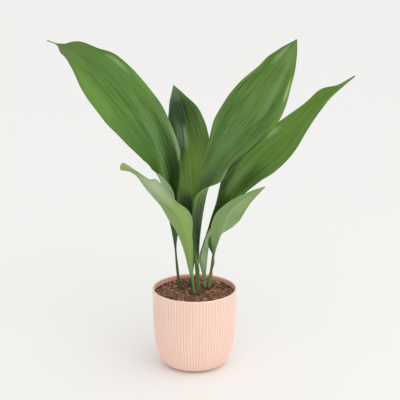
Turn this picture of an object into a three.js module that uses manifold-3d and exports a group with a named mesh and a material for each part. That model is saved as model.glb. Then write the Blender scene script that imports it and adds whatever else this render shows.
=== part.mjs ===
// Potted cast iron plant: six broad leaves standing in the soil of a round ribbed pot.
// Millimetres, +Z up, origin at the centre of the pot's flat base, -Y towards the viewer.

import * as THREE from 'three';
import { mergeVertices } from 'three/addons/utils/BufferGeometryUtils.js';
import Module from 'manifold-3d';

const wasm = await Module();
wasm.setup();

// Gap that neighbouring pieces keep
const CLEARANCE = 0.35;
// Points closer than this become one
const MERGE_DISTANCE = 1e-4;
const HALVINGS = 30;

// Pot
const POT_HEIGHT = 170;
const RIM_RADIUS = 90;
const WALL = 3.4;
const FLOOR_THICKNESS = 5;
const INNER_CORNER = FLOOR_THICKNESS + 7;
const LIP_HEIGHT = 3;
const LIP_ROUND = 1.4;
const RIB_COUNT = 82;
const RIB_DEPTH = 1.2;
const FACETS_PER_RIB = 2;
const BODY_OUTLINE = [[52, 0], [69, 9], [78.5, 27], [84, 48], [87.4, 78], [89, 120], [89.7, 167]];
const RIB_LEVELS = [7, 15, 28, 48, 80, 164];
const INNER_LEVELS = [120, 48, 22];
const BASE_POINTS = 2;

// Soil
const SOIL_LEVEL = 158.5;
const SOIL_RINGS = 11;
const SOIL_FACETS = 41;
const MOUND = { x: 6, y: 60, height: 6.5, spread: 42 };
const CRUMB_HEIGHT = 1.3;
const CRUMB_WAVES = { across: 0.31, acrossTurn: 0.21, back: 0.37, backTurn: 0.17, bend: 1.7, bendBack: 1.3 };
const HOLE_FACETS = 14;
const HOLE_BOTTOM = 114;
const HOLE_ABOVE_SOIL = 12;

// Leaves
const STEM_DEPTH = 0.78;
const STEM_CORE = 3;
const KEEL = 1.1;
const KEEL_AT_TIP = 0.55;
const EDGE = 0.4;
const ROWS_PER_STATION = 2;
const COLUMNS_PER_HALF = 4;
const WAVE = 0.035;
const WAVE_SHIFT = 0.21;
// The stalk flattens into the blade from just before the neck, in stations
const BLADE_BEFORE_NECK = 0.6;
const BLADE_PAST_NECK = 1.4;
// How fast the thickness falls from the midrib to the margin
const STALK_FALL = 0.6;
const BLADE_FALL = 4;
const LEAF_ROUGHNESS = 0.45;

// Scale leaf round the foot of the front right stalk
const SCALE_TOP = 198;
const SCALE_BOTTOM = 134;
const SCALE_THICKNESS = 0.8;
const SCALE_WRAP = 290;
const SCALE_ROWS = 8;
const SCALE_COLUMNS = 12;
const SCALE_BLUNTNESS = 0.4;
const SCALE_STALK = 'leaf_front_right';

// One row is one station of a leaf, from its foot in the soil to its tip:
// x, y, z, turn about its own line (0 shows the upper face to the viewer, 180 the underside),
// then for the left half and the right half of the blade its width, lift and curl.
// Lift and curl are in degrees: lift is the slope at the midrib, curl what the slope gains to the margin.
const LEAVES = [
  {
    name: 'leaf_left_large',
    color: 0x4f7a3a,
    neck: 3.6,
    waves: [2.4, 0.1],
    stations: [
      [-30, 14, 116, 0, 3.2, 0, 0, 3.2, 0, 0],
      [-32, 17, 160, 0, 3.2, 0, 0, 3.2, 0, 0],
      [-37, 21, 206, 0, 2.8, 5, 0, 2.8, 5, 0],
      [-41, 27, 256, 0, 2.8, 10, 0, 2.8, 10, 0],
      [-44, 34, 308, 0, 12, 10, 60, 15, 45, 0],
      [-48, 38, 354, 0, 36, 5, 215, 28, 55, 0],
      [-60, 43, 402, 0, 44, 5, 165, 43, 34, 0],
      [-69.5, 47, 428, 0, 36.5, 22, 60, 48, 26, -5],
      [-81, 51, 454, 0, 44, 34, 22, 53, 18, -10],
      [-114, 60, 510, 0, 56, 40, -10, 61, 10, -10],
      [-156, 68, 565, 0, 56, 24, -10, 62, 6, -10],
      [-203, 75, 619, 0, 49, 24, -10, 53.5, 6, -10],
      [-247, 80, 656, 0, 27, 24, 0, 29.5, 10, 0],
      [-272, 82.5, 669, 0, 14.5, 15, 0, 12, 10, 0],
      [-286, 84, 675.5, 0, 2.2, 0, 0, 2.2, 0, 0],
      [-307, 87, 683, 0, 1, 0, 0, 1, 0, 0],
    ],
  },
  {
    name: 'leaf_centre_back',
    color: 0x35592c,
    neck: 2.6,
    waves: [2.1, 0.35],
    stations: [
      [-10, 34, 116, 0, 2.8, 0, 0, 2.8, 0, 0],
      [-9, 36, 160, 0, 2.8, 0, 0, 2.8, 0, 0],
      [-5, 39, 200, 0, 3, 10, 0, 3, 10, 0],
      [-1, 44, 240, 0, 7, 40, 0, 6, 40, 0],
      [-1, 52, 286, 0, 25, 45, 0, 16, 50, 0],
      [-2, 61, 330, 0, 40, 35, 0, 28, 45, 0],
      [-4, 72, 374, 0, 43, 28, 0, 38, 32, 0],
      [-8, 84, 424, 0, 41, 24, -10, 45, 20, 0],
      [-12, 95, 475, 0, 42, 20, -10, 45.5, 18, 0],
      [-20, 105, 524, 0, 39, 18, 0, 36, 20, 0],
      [-33, 111, 561, 0, 22, 14, 0, 14, 16, 0],
      [-45, 115, 586, 0, 0.8, 0, 0, 0.8, 0, 0],
    ],
  },
  {
    name: 'leaf_right_large',
    color: 0x54803c,
    neck: 2.6,
    waves: [2.6, 0.6],
    stations: [
      [6, 7, 116, 0, 3.2, 0, 0, 3.2, 0, 0],
      [7, 5, 158, 0, 3.2, 0, 0, 3.2, 0, 0],
      [6, 3, 200, 0, 4.4, 10, 0, 5.4, 30, 0],
      [8, 0, 238, 0, 8.7, 8, 0, 10, 125, 0],
      [10.5, -4, 276, 0, 12.7, 5, 0, 14, 155, 0],
      [14.5, -5, 314, 0, 17.5, 4, 0, 23, 155, 0],
      [20, -3, 348, 0, 24.5, 6, 0, 26.5, 148, 0],
      [27, 2, 380, 0, 29.5, 20, 0, 41, 112, 0],
      [38, 8, 410, 0, 40, 38, 0, 38, 64, 0],
      [57, 15, 448, 0, 45, 30, 0, 36, 55, 0],
      [91, 23, 495, 0, 61, 6, -10, 45.5, 34, -10],
      [135, 34, 553, 0, 65, 2, -10, 50, 22, -10],
      [177, 46, 620, 0, 45.5, 4, -5, 30, 16, -5],
      [198, 52, 659, 0, 25.5, 6, 0, 14, 10, 0],
      [210.5, 56, 688, 0, 0.8, 0, 0, 0.8, 0, 0],
    ],
  },
  {
    name: 'leaf_right_arching',
    color: 0x4b7a34,
    neck: 3.3,
    waves: [3.2, 0.2],
    stations: [
      [22.5, 22, 116, 0, 2.4, 0, 0, 2.4, 0, 0],
      [23, 24, 158, 0, 2.4, 0, 0, 2.4, 0, 0],
      [22.8, 26, 174, 0, 2.4, 0, 0, 2.4, 0, 0],
      [22.3, 29.5, 193, 0, 7, 15, 0, 3, 150, 0],
      [26, 34, 220, 0, 17.5, 15, 0, 15, 150, 0],
      [30, 38, 250, 0, 15, 20, 0, 16, 138, 0],
      [36, 41, 284, 0, 12, 40, 0, 18, 115, 0],
      [45, 43, 315, 0, 13.5, 45, 0, 25, 80, 0],
      [59, 44, 343, 0, 19, 40, 0, 31, 55, 0],
      [82, 45, 379, 0, 34, 25, 0, 31, 38, 0],
      [111, 44, 416, 0, 44, 15, 0, 38, 30, 0],
      [145, 42, 452, 0, 46, 12, 0, 45, 22, -10],
      [188, 39, 494, 0, 33, 16, 0, 41, 22, -10],
      [231, 33, 541, 0, 22, 20, 0, 24.5, 25, 0],
      [268, 25, 575, 0, 20, 15, 0, 12, 25, 0],
      [299, 19, 597, 0, 6.5, 0, 0, 4, 25, 0],
      [326, 15, 618, 0, 1.2, 0, 0, 1.2, 0, 0],
    ],
  },
  {
    name: 'leaf_front_left',
    color: 0x7fa35a,
    neck: 2.4,
    waves: [2.2, 0.8],
    stations: [
      [2, -6, 116, 180, 2.7, 0, 0, 2.7, 0, 0],
      [0, -8, 158, 180, 2.7, 0, 0, 2.7, 0, 0],
      [-4, -11, 188, 180, 2.8, 10, 0, 2.6, 10, 0],
      [-8, -15, 220, 180, 5.5, 20, 0, 6, 20, 0],
      [-11, -21, 252, 180, 10, 5, 40, 10.5, 5, 40],
      [-16, -29, 288, 180, 15, 8, 45, 18, 8, 45],
      [-26, -41, 326, 180, 29, 8, 58, 30, 8, 58],
      [-46, -55, 362, 180, 20, 20, 70, 34, 15, 64],
      [-69, -70, 391, 180, 25, 22, 70, 30, 18, 68],
      [-84, -79, 406, 180, 25, 20, 60, 24, 26, 66],
      [-92, -84, 415, 180, 16, 25, 68, 21, 30, 66],
      [-108, -96, 434, 180, 9, 30, 50, 9.5, 35, 60],
      [-118, -103, 446, 190, 5, 40, 0, 5, 40, 0],
      [-129, -108, 454, 195, 6, 20, 0, 6.5, 20, 0],
      [-143, -111, 459, 195, 8.5, 10, 0, 9, 10, 0],
    ],
  },
  {
    name: 'leaf_front_right',
    color: 0x769a58,
    neck: 4,
    waves: [1.8, 0.4],
    stations: [
      [30, 31, 116, 180, 3, 0, 0, 3, 0, 0],
      [31, 31, 158, 180, 3, 0, 0, 3, 0, 0],
      [35, 28, 193, 180, 3, 0, 0, 3, 0, 0],
      [37, 26.2, 206, 180, 3, 0, 0, 3, 0, 0],
      [39.5, 23.6, 224, 180, 8, 80, 0, 3.4, 10, 0],
      [44, 18, 246, 180, 20, 145, 0, 6, 10, 0],
      [50, 9, 268, 180, 25, 134, 0, 16, 5, 0],
      [56.5, -3, 292, 180, 25, 46, 0, 24, 10, 0],
      [64, -18, 323, 180, 30, 18, 0, 24.5, 22, 0],
      [76, -33, 350, 180, 27.5, 12, 0, 17, 32, 0],
      [94, -48, 371, 180, 20.5, 20, 0, 12.5, 40, 0],
      [117, -62, 390, 180, 10, 20, 0, 8, 40, 0],
      [141, -76, 409, 180, 0.8, 0, 0, 0.8, 0, 0],
    ],
  },
];

// Smooth value of each column of the stations at a place counted in stations from the foot.
function stationAt(stations, place) {
  const last = stations.length - 1;
  const index = Math.min(Math.floor(Math.max(place, 0)), last - 1);
  const f = Math.min(Math.max(place - index, 0), 1);
  const b = stations[index];
  const c = stations[index + 1];
  const a = stations[index - 1] ?? b.map((value, k) => 2 * value - c[k]);
  const d = stations[index + 2] ?? c.map((value, k) => 2 * value - b[k]);
  return b.map((value, k) => {
    const slope = (c[k] - a[k]) * f;
    const bend = (2 * a[k] - 5 * value + 4 * c[k] - d[k]) * f * f;
    const ease = (3 * value - a[k] - 3 * c[k] + d[k]) * f * f * f;
    return value + 0.5 * (slope + bend + ease);
  });
}

function placeOf(station) {
  return new THREE.Vector3(station[0], station[1], station[2]);
}

// The leaf's line, the direction across it and the direction its upper face looks.
function frameAt(stations, place) {
  const step = 0.01;
  const last = stations.length - 1;
  const before = placeOf(stationAt(stations, Math.max(place - step, 0)));
  const after = placeOf(stationAt(stations, Math.min(place + step, last)));
  const along = after.sub(before).normalize();
  const station = stationAt(stations, place);
  const across = new THREE.Vector3(0, 1, 0).cross(along).normalize();
  across.applyAxisAngle(along, THREE.MathUtils.degToRad(station[3]));
  const face = across.clone().cross(along);
  return { station, across, face };
}

// Point and surface direction at a share of one half's width: -1 left margin, 0 midrib, 1 right margin.
function bladePoint(stations, waves, place, share) {
  const { station, across, face } = frameAt(stations, place);
  const side = share < 0 ? -1 : 1;
  const [width, liftDegrees, curlDegrees] = side < 0 ? station.slice(4, 7) : station.slice(7, 10);
  const lift = THREE.MathUtils.degToRad(liftDegrees);
  const curl = THREE.MathUtils.degToRad(curlDegrees) || 1e-4;
  const reach = Math.abs(share);
  const slope = lift + curl * reach;
  const run = width * (Math.sin(slope) - Math.sin(lift)) / curl;
  const rise = width * (Math.cos(lift) - Math.cos(slope)) / curl;
  const normal = face.clone().multiplyScalar(Math.cos(slope)).addScaledVector(across, -side * Math.sin(slope));
  const [count, phase] = waves;
  const turns = count * place / (stations.length - 1) + phase + WAVE_SHIFT * side;
  const wave = WAVE * width * reach ** 3 * Math.sin(2 * Math.PI * turns);
  const point = placeOf(station)
    .addScaledVector(across, side * run)
    .addScaledVector(face, rise)
    .addScaledVector(normal, wave);
  return { point, normal };
}

// Half the leaf's thickness: a round stalk that flattens past the neck into a blade with a keel.
function halfThickness(station, neck, place, last, share) {
  const blade = THREE.MathUtils.smoothstep(place, neck - BLADE_BEFORE_NECK, neck + BLADE_PAST_NECK);
  const tip = THREE.MathUtils.clamp((place - neck) / (last - neck), 0, 1);
  const keel = THREE.MathUtils.lerp(KEEL, KEEL_AT_TIP, tip);
  const stem = Math.min(STEM_DEPTH * station[4], STEM_CORE);
  const core = THREE.MathUtils.lerp(stem, keel, blade);
  const fall = THREE.MathUtils.lerp(STALK_FALL, BLADE_FALL, blade);
  return EDGE + (core - EDGE) * (1 - Math.abs(share)) ** fall;
}

// Closed solid between two like grids of points, split into triangles alike on both faces.
function slabGeometry(upper, lower) {
  const rows = upper.length;
  const columns = upper[0].length;
  const size = rows * columns;
  const up = (i, j) => i * columns + j;
  const low = (i, j) => size + i * columns + j;
  const triangles = [];
  const quad = (a, b, c, d) => triangles.push(a, b, c, a, c, d);
  for (let i = 0; i + 1 < rows; i += 1) {
    for (let j = 0; j + 1 < columns; j += 1) {
      quad(up(i, j), up(i, j + 1), up(i + 1, j + 1), up(i + 1, j));
      triangles.push(low(i, j), low(i + 1, j + 1), low(i, j + 1));
      triangles.push(low(i, j), low(i + 1, j), low(i + 1, j + 1));
    }
    quad(up(i, 0), up(i + 1, 0), low(i + 1, 0), low(i, 0));
    const edge = columns - 1;
    quad(up(i, edge), low(i, edge), low(i + 1, edge), up(i + 1, edge));
  }
  for (let j = 0; j + 1 < columns; j += 1) {
    quad(up(0, j), low(0, j), low(0, j + 1), up(0, j + 1));
    quad(up(rows - 1, j), up(rows - 1, j + 1), low(rows - 1, j + 1), low(rows - 1, j));
  }
  const geometry = new THREE.BufferGeometry().setFromPoints([...upper.flat(), ...lower.flat()]);
  geometry.setIndex(triangles);
  return geometry;
}

function leafGeometry({ stations, neck, waves }) {
  const last = stations.length - 1;
  const upper = [];
  const lower = [];
  for (let row = 0; row <= last * ROWS_PER_STATION; row += 1) {
    const place = row / ROWS_PER_STATION;
    const station = stationAt(stations, place);
    const upperRow = [];
    const lowerRow = [];
    for (let column = -COLUMNS_PER_HALF; column <= COLUMNS_PER_HALF; column += 1) {
      const share = column / COLUMNS_PER_HALF;
      const { point, normal } = bladePoint(stations, waves, place, share);
      if (column === 0) {
        const other = bladePoint(stations, waves, place, -1e-6);
        normal.add(other.normal).normalize();
      }
      const half = halfThickness(station, neck, place, last, share);
      upperRow.push(point.clone().addScaledVector(normal, half));
      lowerRow.push(point.clone().addScaledVector(normal, -half));
    }
    upper.push(upperRow);
    lower.push(lowerRow);
  }
  return slabGeometry(upper, lower);
}

function mergedByPlace(geometry) {
  geometry.deleteAttribute('normal');
  geometry.deleteAttribute('uv');
  return mergeVertices(geometry, MERGE_DISTANCE);
}

// Radius of the pot's outside under the lip at a height.
const bodyCurve = new THREE.SplineCurve(BODY_OUTLINE.map(([radius, z]) => new THREE.Vector2(radius, z)));

function bodyRadius(z) {
  let low = 0;
  let high = 1;
  for (let step = 0; step < HALVINGS; step += 1) {
    const middle = (low + high) / 2;
    if (bodyCurve.getPoint(middle).y < z) low = middle;
    else high = middle;
  }
  return bodyCurve.getPoint(low).x;
}

function innerRadius(z) {
  return bodyRadius(z) - WALL;
}

function potGeometry() {
  const lipBottom = POT_HEIGHT - LIP_HEIGHT;
  const lipInner = innerRadius(lipBottom);
  const profile = [
    [0, 0],
    [BODY_OUTLINE[0][0], 0],
    ...RIB_LEVELS.map((z) => [bodyRadius(z), z]),
    [RIM_RADIUS, lipBottom],
    [RIM_RADIUS, POT_HEIGHT - LIP_ROUND],
    [RIM_RADIUS - LIP_ROUND, POT_HEIGHT],
    [lipInner, POT_HEIGHT],
    ...INNER_LEVELS.map((z) => [innerRadius(z), z]),
    [innerRadius(INNER_CORNER), INNER_CORNER],
    [BODY_OUTLINE[0][0] - WALL, FLOOR_THICKNESS],
    [0, FLOOR_THICKNESS],
  ].map(([radius, z]) => new THREE.Vector2(radius, z));
  const facets = RIB_COUNT * FACETS_PER_RIB;
  const geometry = new THREE.LatheGeometry(profile, facets);
  const position = geometry.getAttribute('position');
  const levels = profile.length;
  // Every other line of facets lies deeper, past the two points of the flat base and below the lip
  for (let facet = 1; facet < facets; facet += FACETS_PER_RIB) {
    for (let level = BASE_POINTS; level < BASE_POINTS + RIB_LEVELS.length; level += 1) {
      const vertex = facet * levels + level;
      const x = position.getX(vertex);
      const z = position.getZ(vertex);
      const scale = 1 - RIB_DEPTH / Math.hypot(x, z);
      position.setX(vertex, x * scale);
      position.setZ(vertex, z * scale);
    }
  }
  geometry.rotateX(Math.PI / 2);
  return mergedByPlace(geometry);
}

function soilHeight(x, y) {
  const fromMound = Math.hypot(x - MOUND.x, y - MOUND.y) / MOUND.spread;
  const mound = MOUND.height * Math.exp(-fromMound * fromMound);
  const { across, acrossTurn, back, backTurn, bend, bendBack } = CRUMB_WAVES;
  const sideways = Math.sin(x * across + bend * Math.sin(y * backTurn));
  const inDepth = Math.cos(y * back - bendBack * Math.sin(x * acrossTurn));
  return SOIL_LEVEL + mound + CRUMB_HEIGHT * sideways * inDepth;
}

function soilGeometry() {
  const bottom = FLOOR_THICKNESS + CLEARANCE;
  const edge = innerRadius(SOIL_LEVEL) - CLEARANCE;
  const profile = [
    [0, bottom],
    [BODY_OUTLINE[0][0] - WALL - 2 * CLEARANCE, bottom],
    [innerRadius(INNER_CORNER) - CLEARANCE, INNER_CORNER + CLEARANCE],
    ...[...INNER_LEVELS].reverse().map((z) => [innerRadius(z) - CLEARANCE, z]),
  ];
  const sideLevels = profile.length;
  for (let ring = SOIL_RINGS; ring > 0; ring -= 1) {
    profile.push([edge * ring / SOIL_RINGS, SOIL_LEVEL]);
  }
  profile.push([0, SOIL_LEVEL]);
  const points = profile.map(([radius, z]) => new THREE.Vector2(radius, z));
  const geometry = new THREE.LatheGeometry(points, SOIL_FACETS);
  geometry.rotateX(Math.PI / 2);
  const position = geometry.getAttribute('position');
  for (let vertex = 0; vertex < position.count; vertex += 1) {
    if (vertex % profile.length >= sideLevels) {
      position.setZ(vertex, soilHeight(position.getX(vertex), position.getY(vertex)));
    }
  }
  return mergedByPlace(geometry);
}

// Straight round hole that a stalk stands in, from its foot to above the soil.
function holeGeometry(stations, radius) {
  const foot = placeOf(stations[0]);
  const top = placeOf(stations[1]);
  const along = top.clone().sub(foot).normalize();
  const start = foot.clone().addScaledVector(along, (HOLE_BOTTOM - foot.z) / along.z);
  const end = top.clone().addScaledVector(along, HOLE_ABOVE_SOIL);
  const length = end.distanceTo(start);
  const geometry = new THREE.CylinderGeometry(radius, radius, length, HOLE_FACETS);
  const turn = new THREE.Quaternion().setFromUnitVectors(new THREE.Vector3(0, 1, 0), along);
  geometry.applyQuaternion(turn);
  const middle = start.add(end).multiplyScalar(0.5);
  geometry.translate(middle.x, middle.y, middle.z);
  return mergedByPlace(geometry);
}

function solidOf(geometry) {
  const mesh = new wasm.Mesh({
    numProp: 3,
    vertProperties: new Float32Array(geometry.getAttribute('position').array),
    triVerts: new Uint32Array(geometry.getIndex().array),
  });
  return new wasm.Manifold(mesh);
}

function geometryOf(solid) {
  const { vertProperties, triVerts } = solid.getMesh();
  const geometry = new THREE.BufferGeometry();
  geometry.setAttribute('position', new THREE.BufferAttribute(vertProperties, 3));
  geometry.setIndex(new THREE.BufferAttribute(triVerts, 1));
  return geometry;
}

function soilWithHoles() {
  let solid = solidOf(soilGeometry());
  for (const { name, stations } of LEAVES) {
    const sheath = name === SCALE_STALK ? CLEARANCE + SCALE_THICKNESS : 0;
    const radius = stations[0][4] + 2 * CLEARANCE + sheath;
    solid = solid.subtract(solidOf(holeGeometry(stations, radius)));
  }
  return geometryOf(solid);
}

// Thin sleeve, open at the back, that narrows to a point on the front of the stalk.
function scaleLeafGeometry() {
  const { stations } = LEAVES.find(({ name }) => name === SCALE_STALK);
  const outer = [];
  const inner = [];
  for (let row = 0; row <= SCALE_ROWS; row += 1) {
    const height = THREE.MathUtils.lerp(SCALE_BOTTOM, SCALE_TOP, row / SCALE_ROWS);
    const place = placeAtHeight(stations, height);
    const { station, across, face } = frameAt(stations, place);
    const centre = placeOf(station);
    const narrowing = Math.sqrt(1 - (row / (SCALE_ROWS + SCALE_BLUNTNESS)) ** 2);
    const wrap = THREE.MathUtils.degToRad(SCALE_WRAP * narrowing);
    const radius = station[4] + CLEARANCE;
    const outerRow = [];
    const innerRow = [];
    for (let column = 0; column <= SCALE_COLUMNS; column += 1) {
      const angle = wrap * (column / SCALE_COLUMNS - 0.5);
      const out = face.clone().multiplyScalar(-Math.cos(angle)).addScaledVector(across, -Math.sin(angle));
      innerRow.push(centre.clone().addScaledVector(out, radius));
      outerRow.push(centre.clone().addScaledVector(out, radius + SCALE_THICKNESS));
    }
    outer.push(outerRow);
    inner.push(innerRow);
  }
  return slabGeometry(outer, inner);
}

function placeAtHeight(stations, height) {
  let low = 0;
  let high = stations.length - 1;
  for (let step = 0; step < HALVINGS; step += 1) {
    const middle = (low + high) / 2;
    if (stationAt(stations, middle)[2] < height) low = middle;
    else high = middle;
  }
  return low;
}

function part(name, geometry, color, roughness) {
  geometry.computeVertexNormals();
  const material = new THREE.MeshStandardMaterial({ color, roughness, metalness: 0 });
  const mesh = new THREE.Mesh(geometry, material);
  mesh.name = name;
  return mesh;
}

const group = new THREE.Group();
group.add(part('pot', potGeometry(), 0xf2cdbd, 0.5));
group.add(part('soil', soilWithHoles(), 0x4a3526, 0.95));
for (const leaf of LEAVES) {
  group.add(part(leaf.name, leafGeometry(leaf), leaf.color, LEAF_ROUGHNESS));
}
group.add(part('scale_leaf', scaleLeafGeometry(), 0xa5723c, 0.7));

export default group;
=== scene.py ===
"""Potted cast iron plant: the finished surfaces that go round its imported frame.

Metres, +Z up, origin at the centre of the pot's flat base, -Y towards the viewer. The forms are written in
millimetres, as the part's own source has them, and become metres where they reach a mesh.
"""

import logging
import math
import random
from collections.abc import Callable, Sequence
from dataclasses import dataclass, field, replace
from enum import Enum
from functools import cache

import bmesh
import bpy
from mathutils import Matrix, Vector, noise

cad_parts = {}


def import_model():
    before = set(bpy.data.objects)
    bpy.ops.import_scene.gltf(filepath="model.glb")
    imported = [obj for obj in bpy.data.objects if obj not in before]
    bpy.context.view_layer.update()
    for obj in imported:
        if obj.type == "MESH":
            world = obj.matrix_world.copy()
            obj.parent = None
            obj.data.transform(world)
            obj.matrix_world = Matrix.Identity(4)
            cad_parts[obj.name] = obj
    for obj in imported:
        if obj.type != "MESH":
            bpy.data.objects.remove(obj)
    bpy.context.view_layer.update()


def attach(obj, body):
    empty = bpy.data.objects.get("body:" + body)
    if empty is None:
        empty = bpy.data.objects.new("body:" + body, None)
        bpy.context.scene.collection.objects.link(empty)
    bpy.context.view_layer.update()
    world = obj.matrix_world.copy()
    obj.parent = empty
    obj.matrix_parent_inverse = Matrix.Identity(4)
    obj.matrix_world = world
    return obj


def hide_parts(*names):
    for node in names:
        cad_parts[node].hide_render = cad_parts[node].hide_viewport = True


log = logging.getLogger("potted_plant")

MM = 0.001
BODY = "root"

# Metres within which points merge, the least curl in radians, and a share just beside the midrib
SAME_PLACE = 1e-6
STRAIGHT = 1e-4
HAIR = 1e-6

# How often a stretch is halved to find a place in it
HALVINGS = 30

# How much finer noise a plain noise and a rich one carry
PLAIN = 2.0
RICH = 3.0

# What the seed of a leaf's underside is past that of its upper face
UNDER_START = 11.0

# The numbers that the meshes keep at each point, for the materials to read
LEAF_LAYERS = ("share", "along", "place", "from_tip", "from_midrib", "from_margin", "blade")
SHEATH_LAYERS = ("share", "along")

Colour = tuple[float, float, float]
Pair = tuple[float, float]
Row = tuple[float, ...]
Part = bmesh.types.BMVert | bmesh.types.BMEdge | bmesh.types.BMFace


class Slot(Enum):
    """The record's material slots."""

    POT = "pot_plastic"
    SOIL = "potting_mix"
    UPPER = "leaf_upper"
    UNDER = "leaf_under"
    SHEATH = "dry_sheath"


class Skin(Enum):
    """Which finish of a leaf a face wears."""

    UPPER = 0
    UNDER = 1


def clamp(value: float) -> float:
    """Return value held between 0 and 1."""
    return min(max(value, 0.0), 1.0)


def lerp(start: float, end: float, share: float) -> float:
    """Return the value at a share of the way from start to end."""
    return start + (end - start) * share


def smoothstep(value: float, low: float, high: float) -> float:
    """Return an eased rise from 0 at low to 1 at high."""
    share = clamp((value - low) / (high - low))
    return share * share * (3 - 2 * share)


def along_rows(rows: Sequence[Row], place: float) -> list[float]:
    """Return each column of some rows at a place, on a smooth curve through them.

    Args:
        rows: The rows of numbers that the curve goes through.
        place: Where on the curve, counted in rows from the first.

    Returns:
        The smooth value of each column.
    """
    index = min(int(max(place, 0)), len(rows) - 2)
    f = clamp(place - index)
    b, c = rows[index], rows[index + 1]
    a = rows[index - 1] if index > 0 else [2 * p - q for p, q in zip(b, c)]
    d = rows[index + 2] if index + 2 < len(rows) else [2 * q - p for p, q in zip(b, c)]
    return [
        q + 0.5 * ((r - p) * f + (2 * p - 5 * q + 4 * r - s) * f**2 + (3 * q - p - 3 * r + s) * f**3)
        for p, q, r, s in zip(a, b, c, d)
    ]


def place_where(measure: Callable[[float], float], value: float, last: float) -> float:
    """Return the place where a rising measure reaches a value.

    Args:
        measure: Gives the measure at a place.
        value: The value to find.
        last: The greatest place.

    Returns:
        The place, between 0 and last.
    """
    low, high = 0.0, last
    for _ in range(HALVINGS):
        middle = (low + high) / 2
        if measure(middle) < value:
            low = middle
        else:
            high = middle
    return low


class Socket:
    """A node's output that takes part in sums: each one adds a Math node."""

    def __init__(self, nodes: "Nodes", link: bpy.types.NodeSocket) -> None:
        """Keep the output and the tree that it is in."""
        self.nodes = nodes
        self.link = link

    def _math(self, operation: str, first: "Value", second: "Value") -> "Socket":
        """Return the output of a new Math node."""
        return self.nodes.node("ShaderNodeMath", {"operation": operation}, {0: first, 1: second})

    def __add__(self, other: "Value") -> "Socket":
        """Return self + other."""
        return self._math("ADD", self, other)

    def __sub__(self, other: "Value") -> "Socket":
        """Return self - other."""
        return self._math("SUBTRACT", self, other)

    def __rsub__(self, other: "Value") -> "Socket":
        """Return other - self."""
        return self._math("SUBTRACT", other, self)

    def __mul__(self, other: "Value") -> "Socket":
        """Return self * other."""
        return self._math("MULTIPLY", self, other)

    __radd__ = __add__
    __rmul__ = __mul__

    def sine(self) -> "Socket":
        """Return the sine of self, in radians."""
        return self.nodes.node("ShaderNodeMath", {"operation": "SINE"}, {0: self})

    def rise(self, low: float, high: float) -> "Socket":
        """Return an eased rise from 0 where self is low to 1 where it is high."""
        settings = {"interpolation_type": "SMOOTHSTEP"}
        return self.nodes.node("ShaderNodeMapRange", settings, {0: self, 1: low, 2: high})


Value = float | Socket


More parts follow.
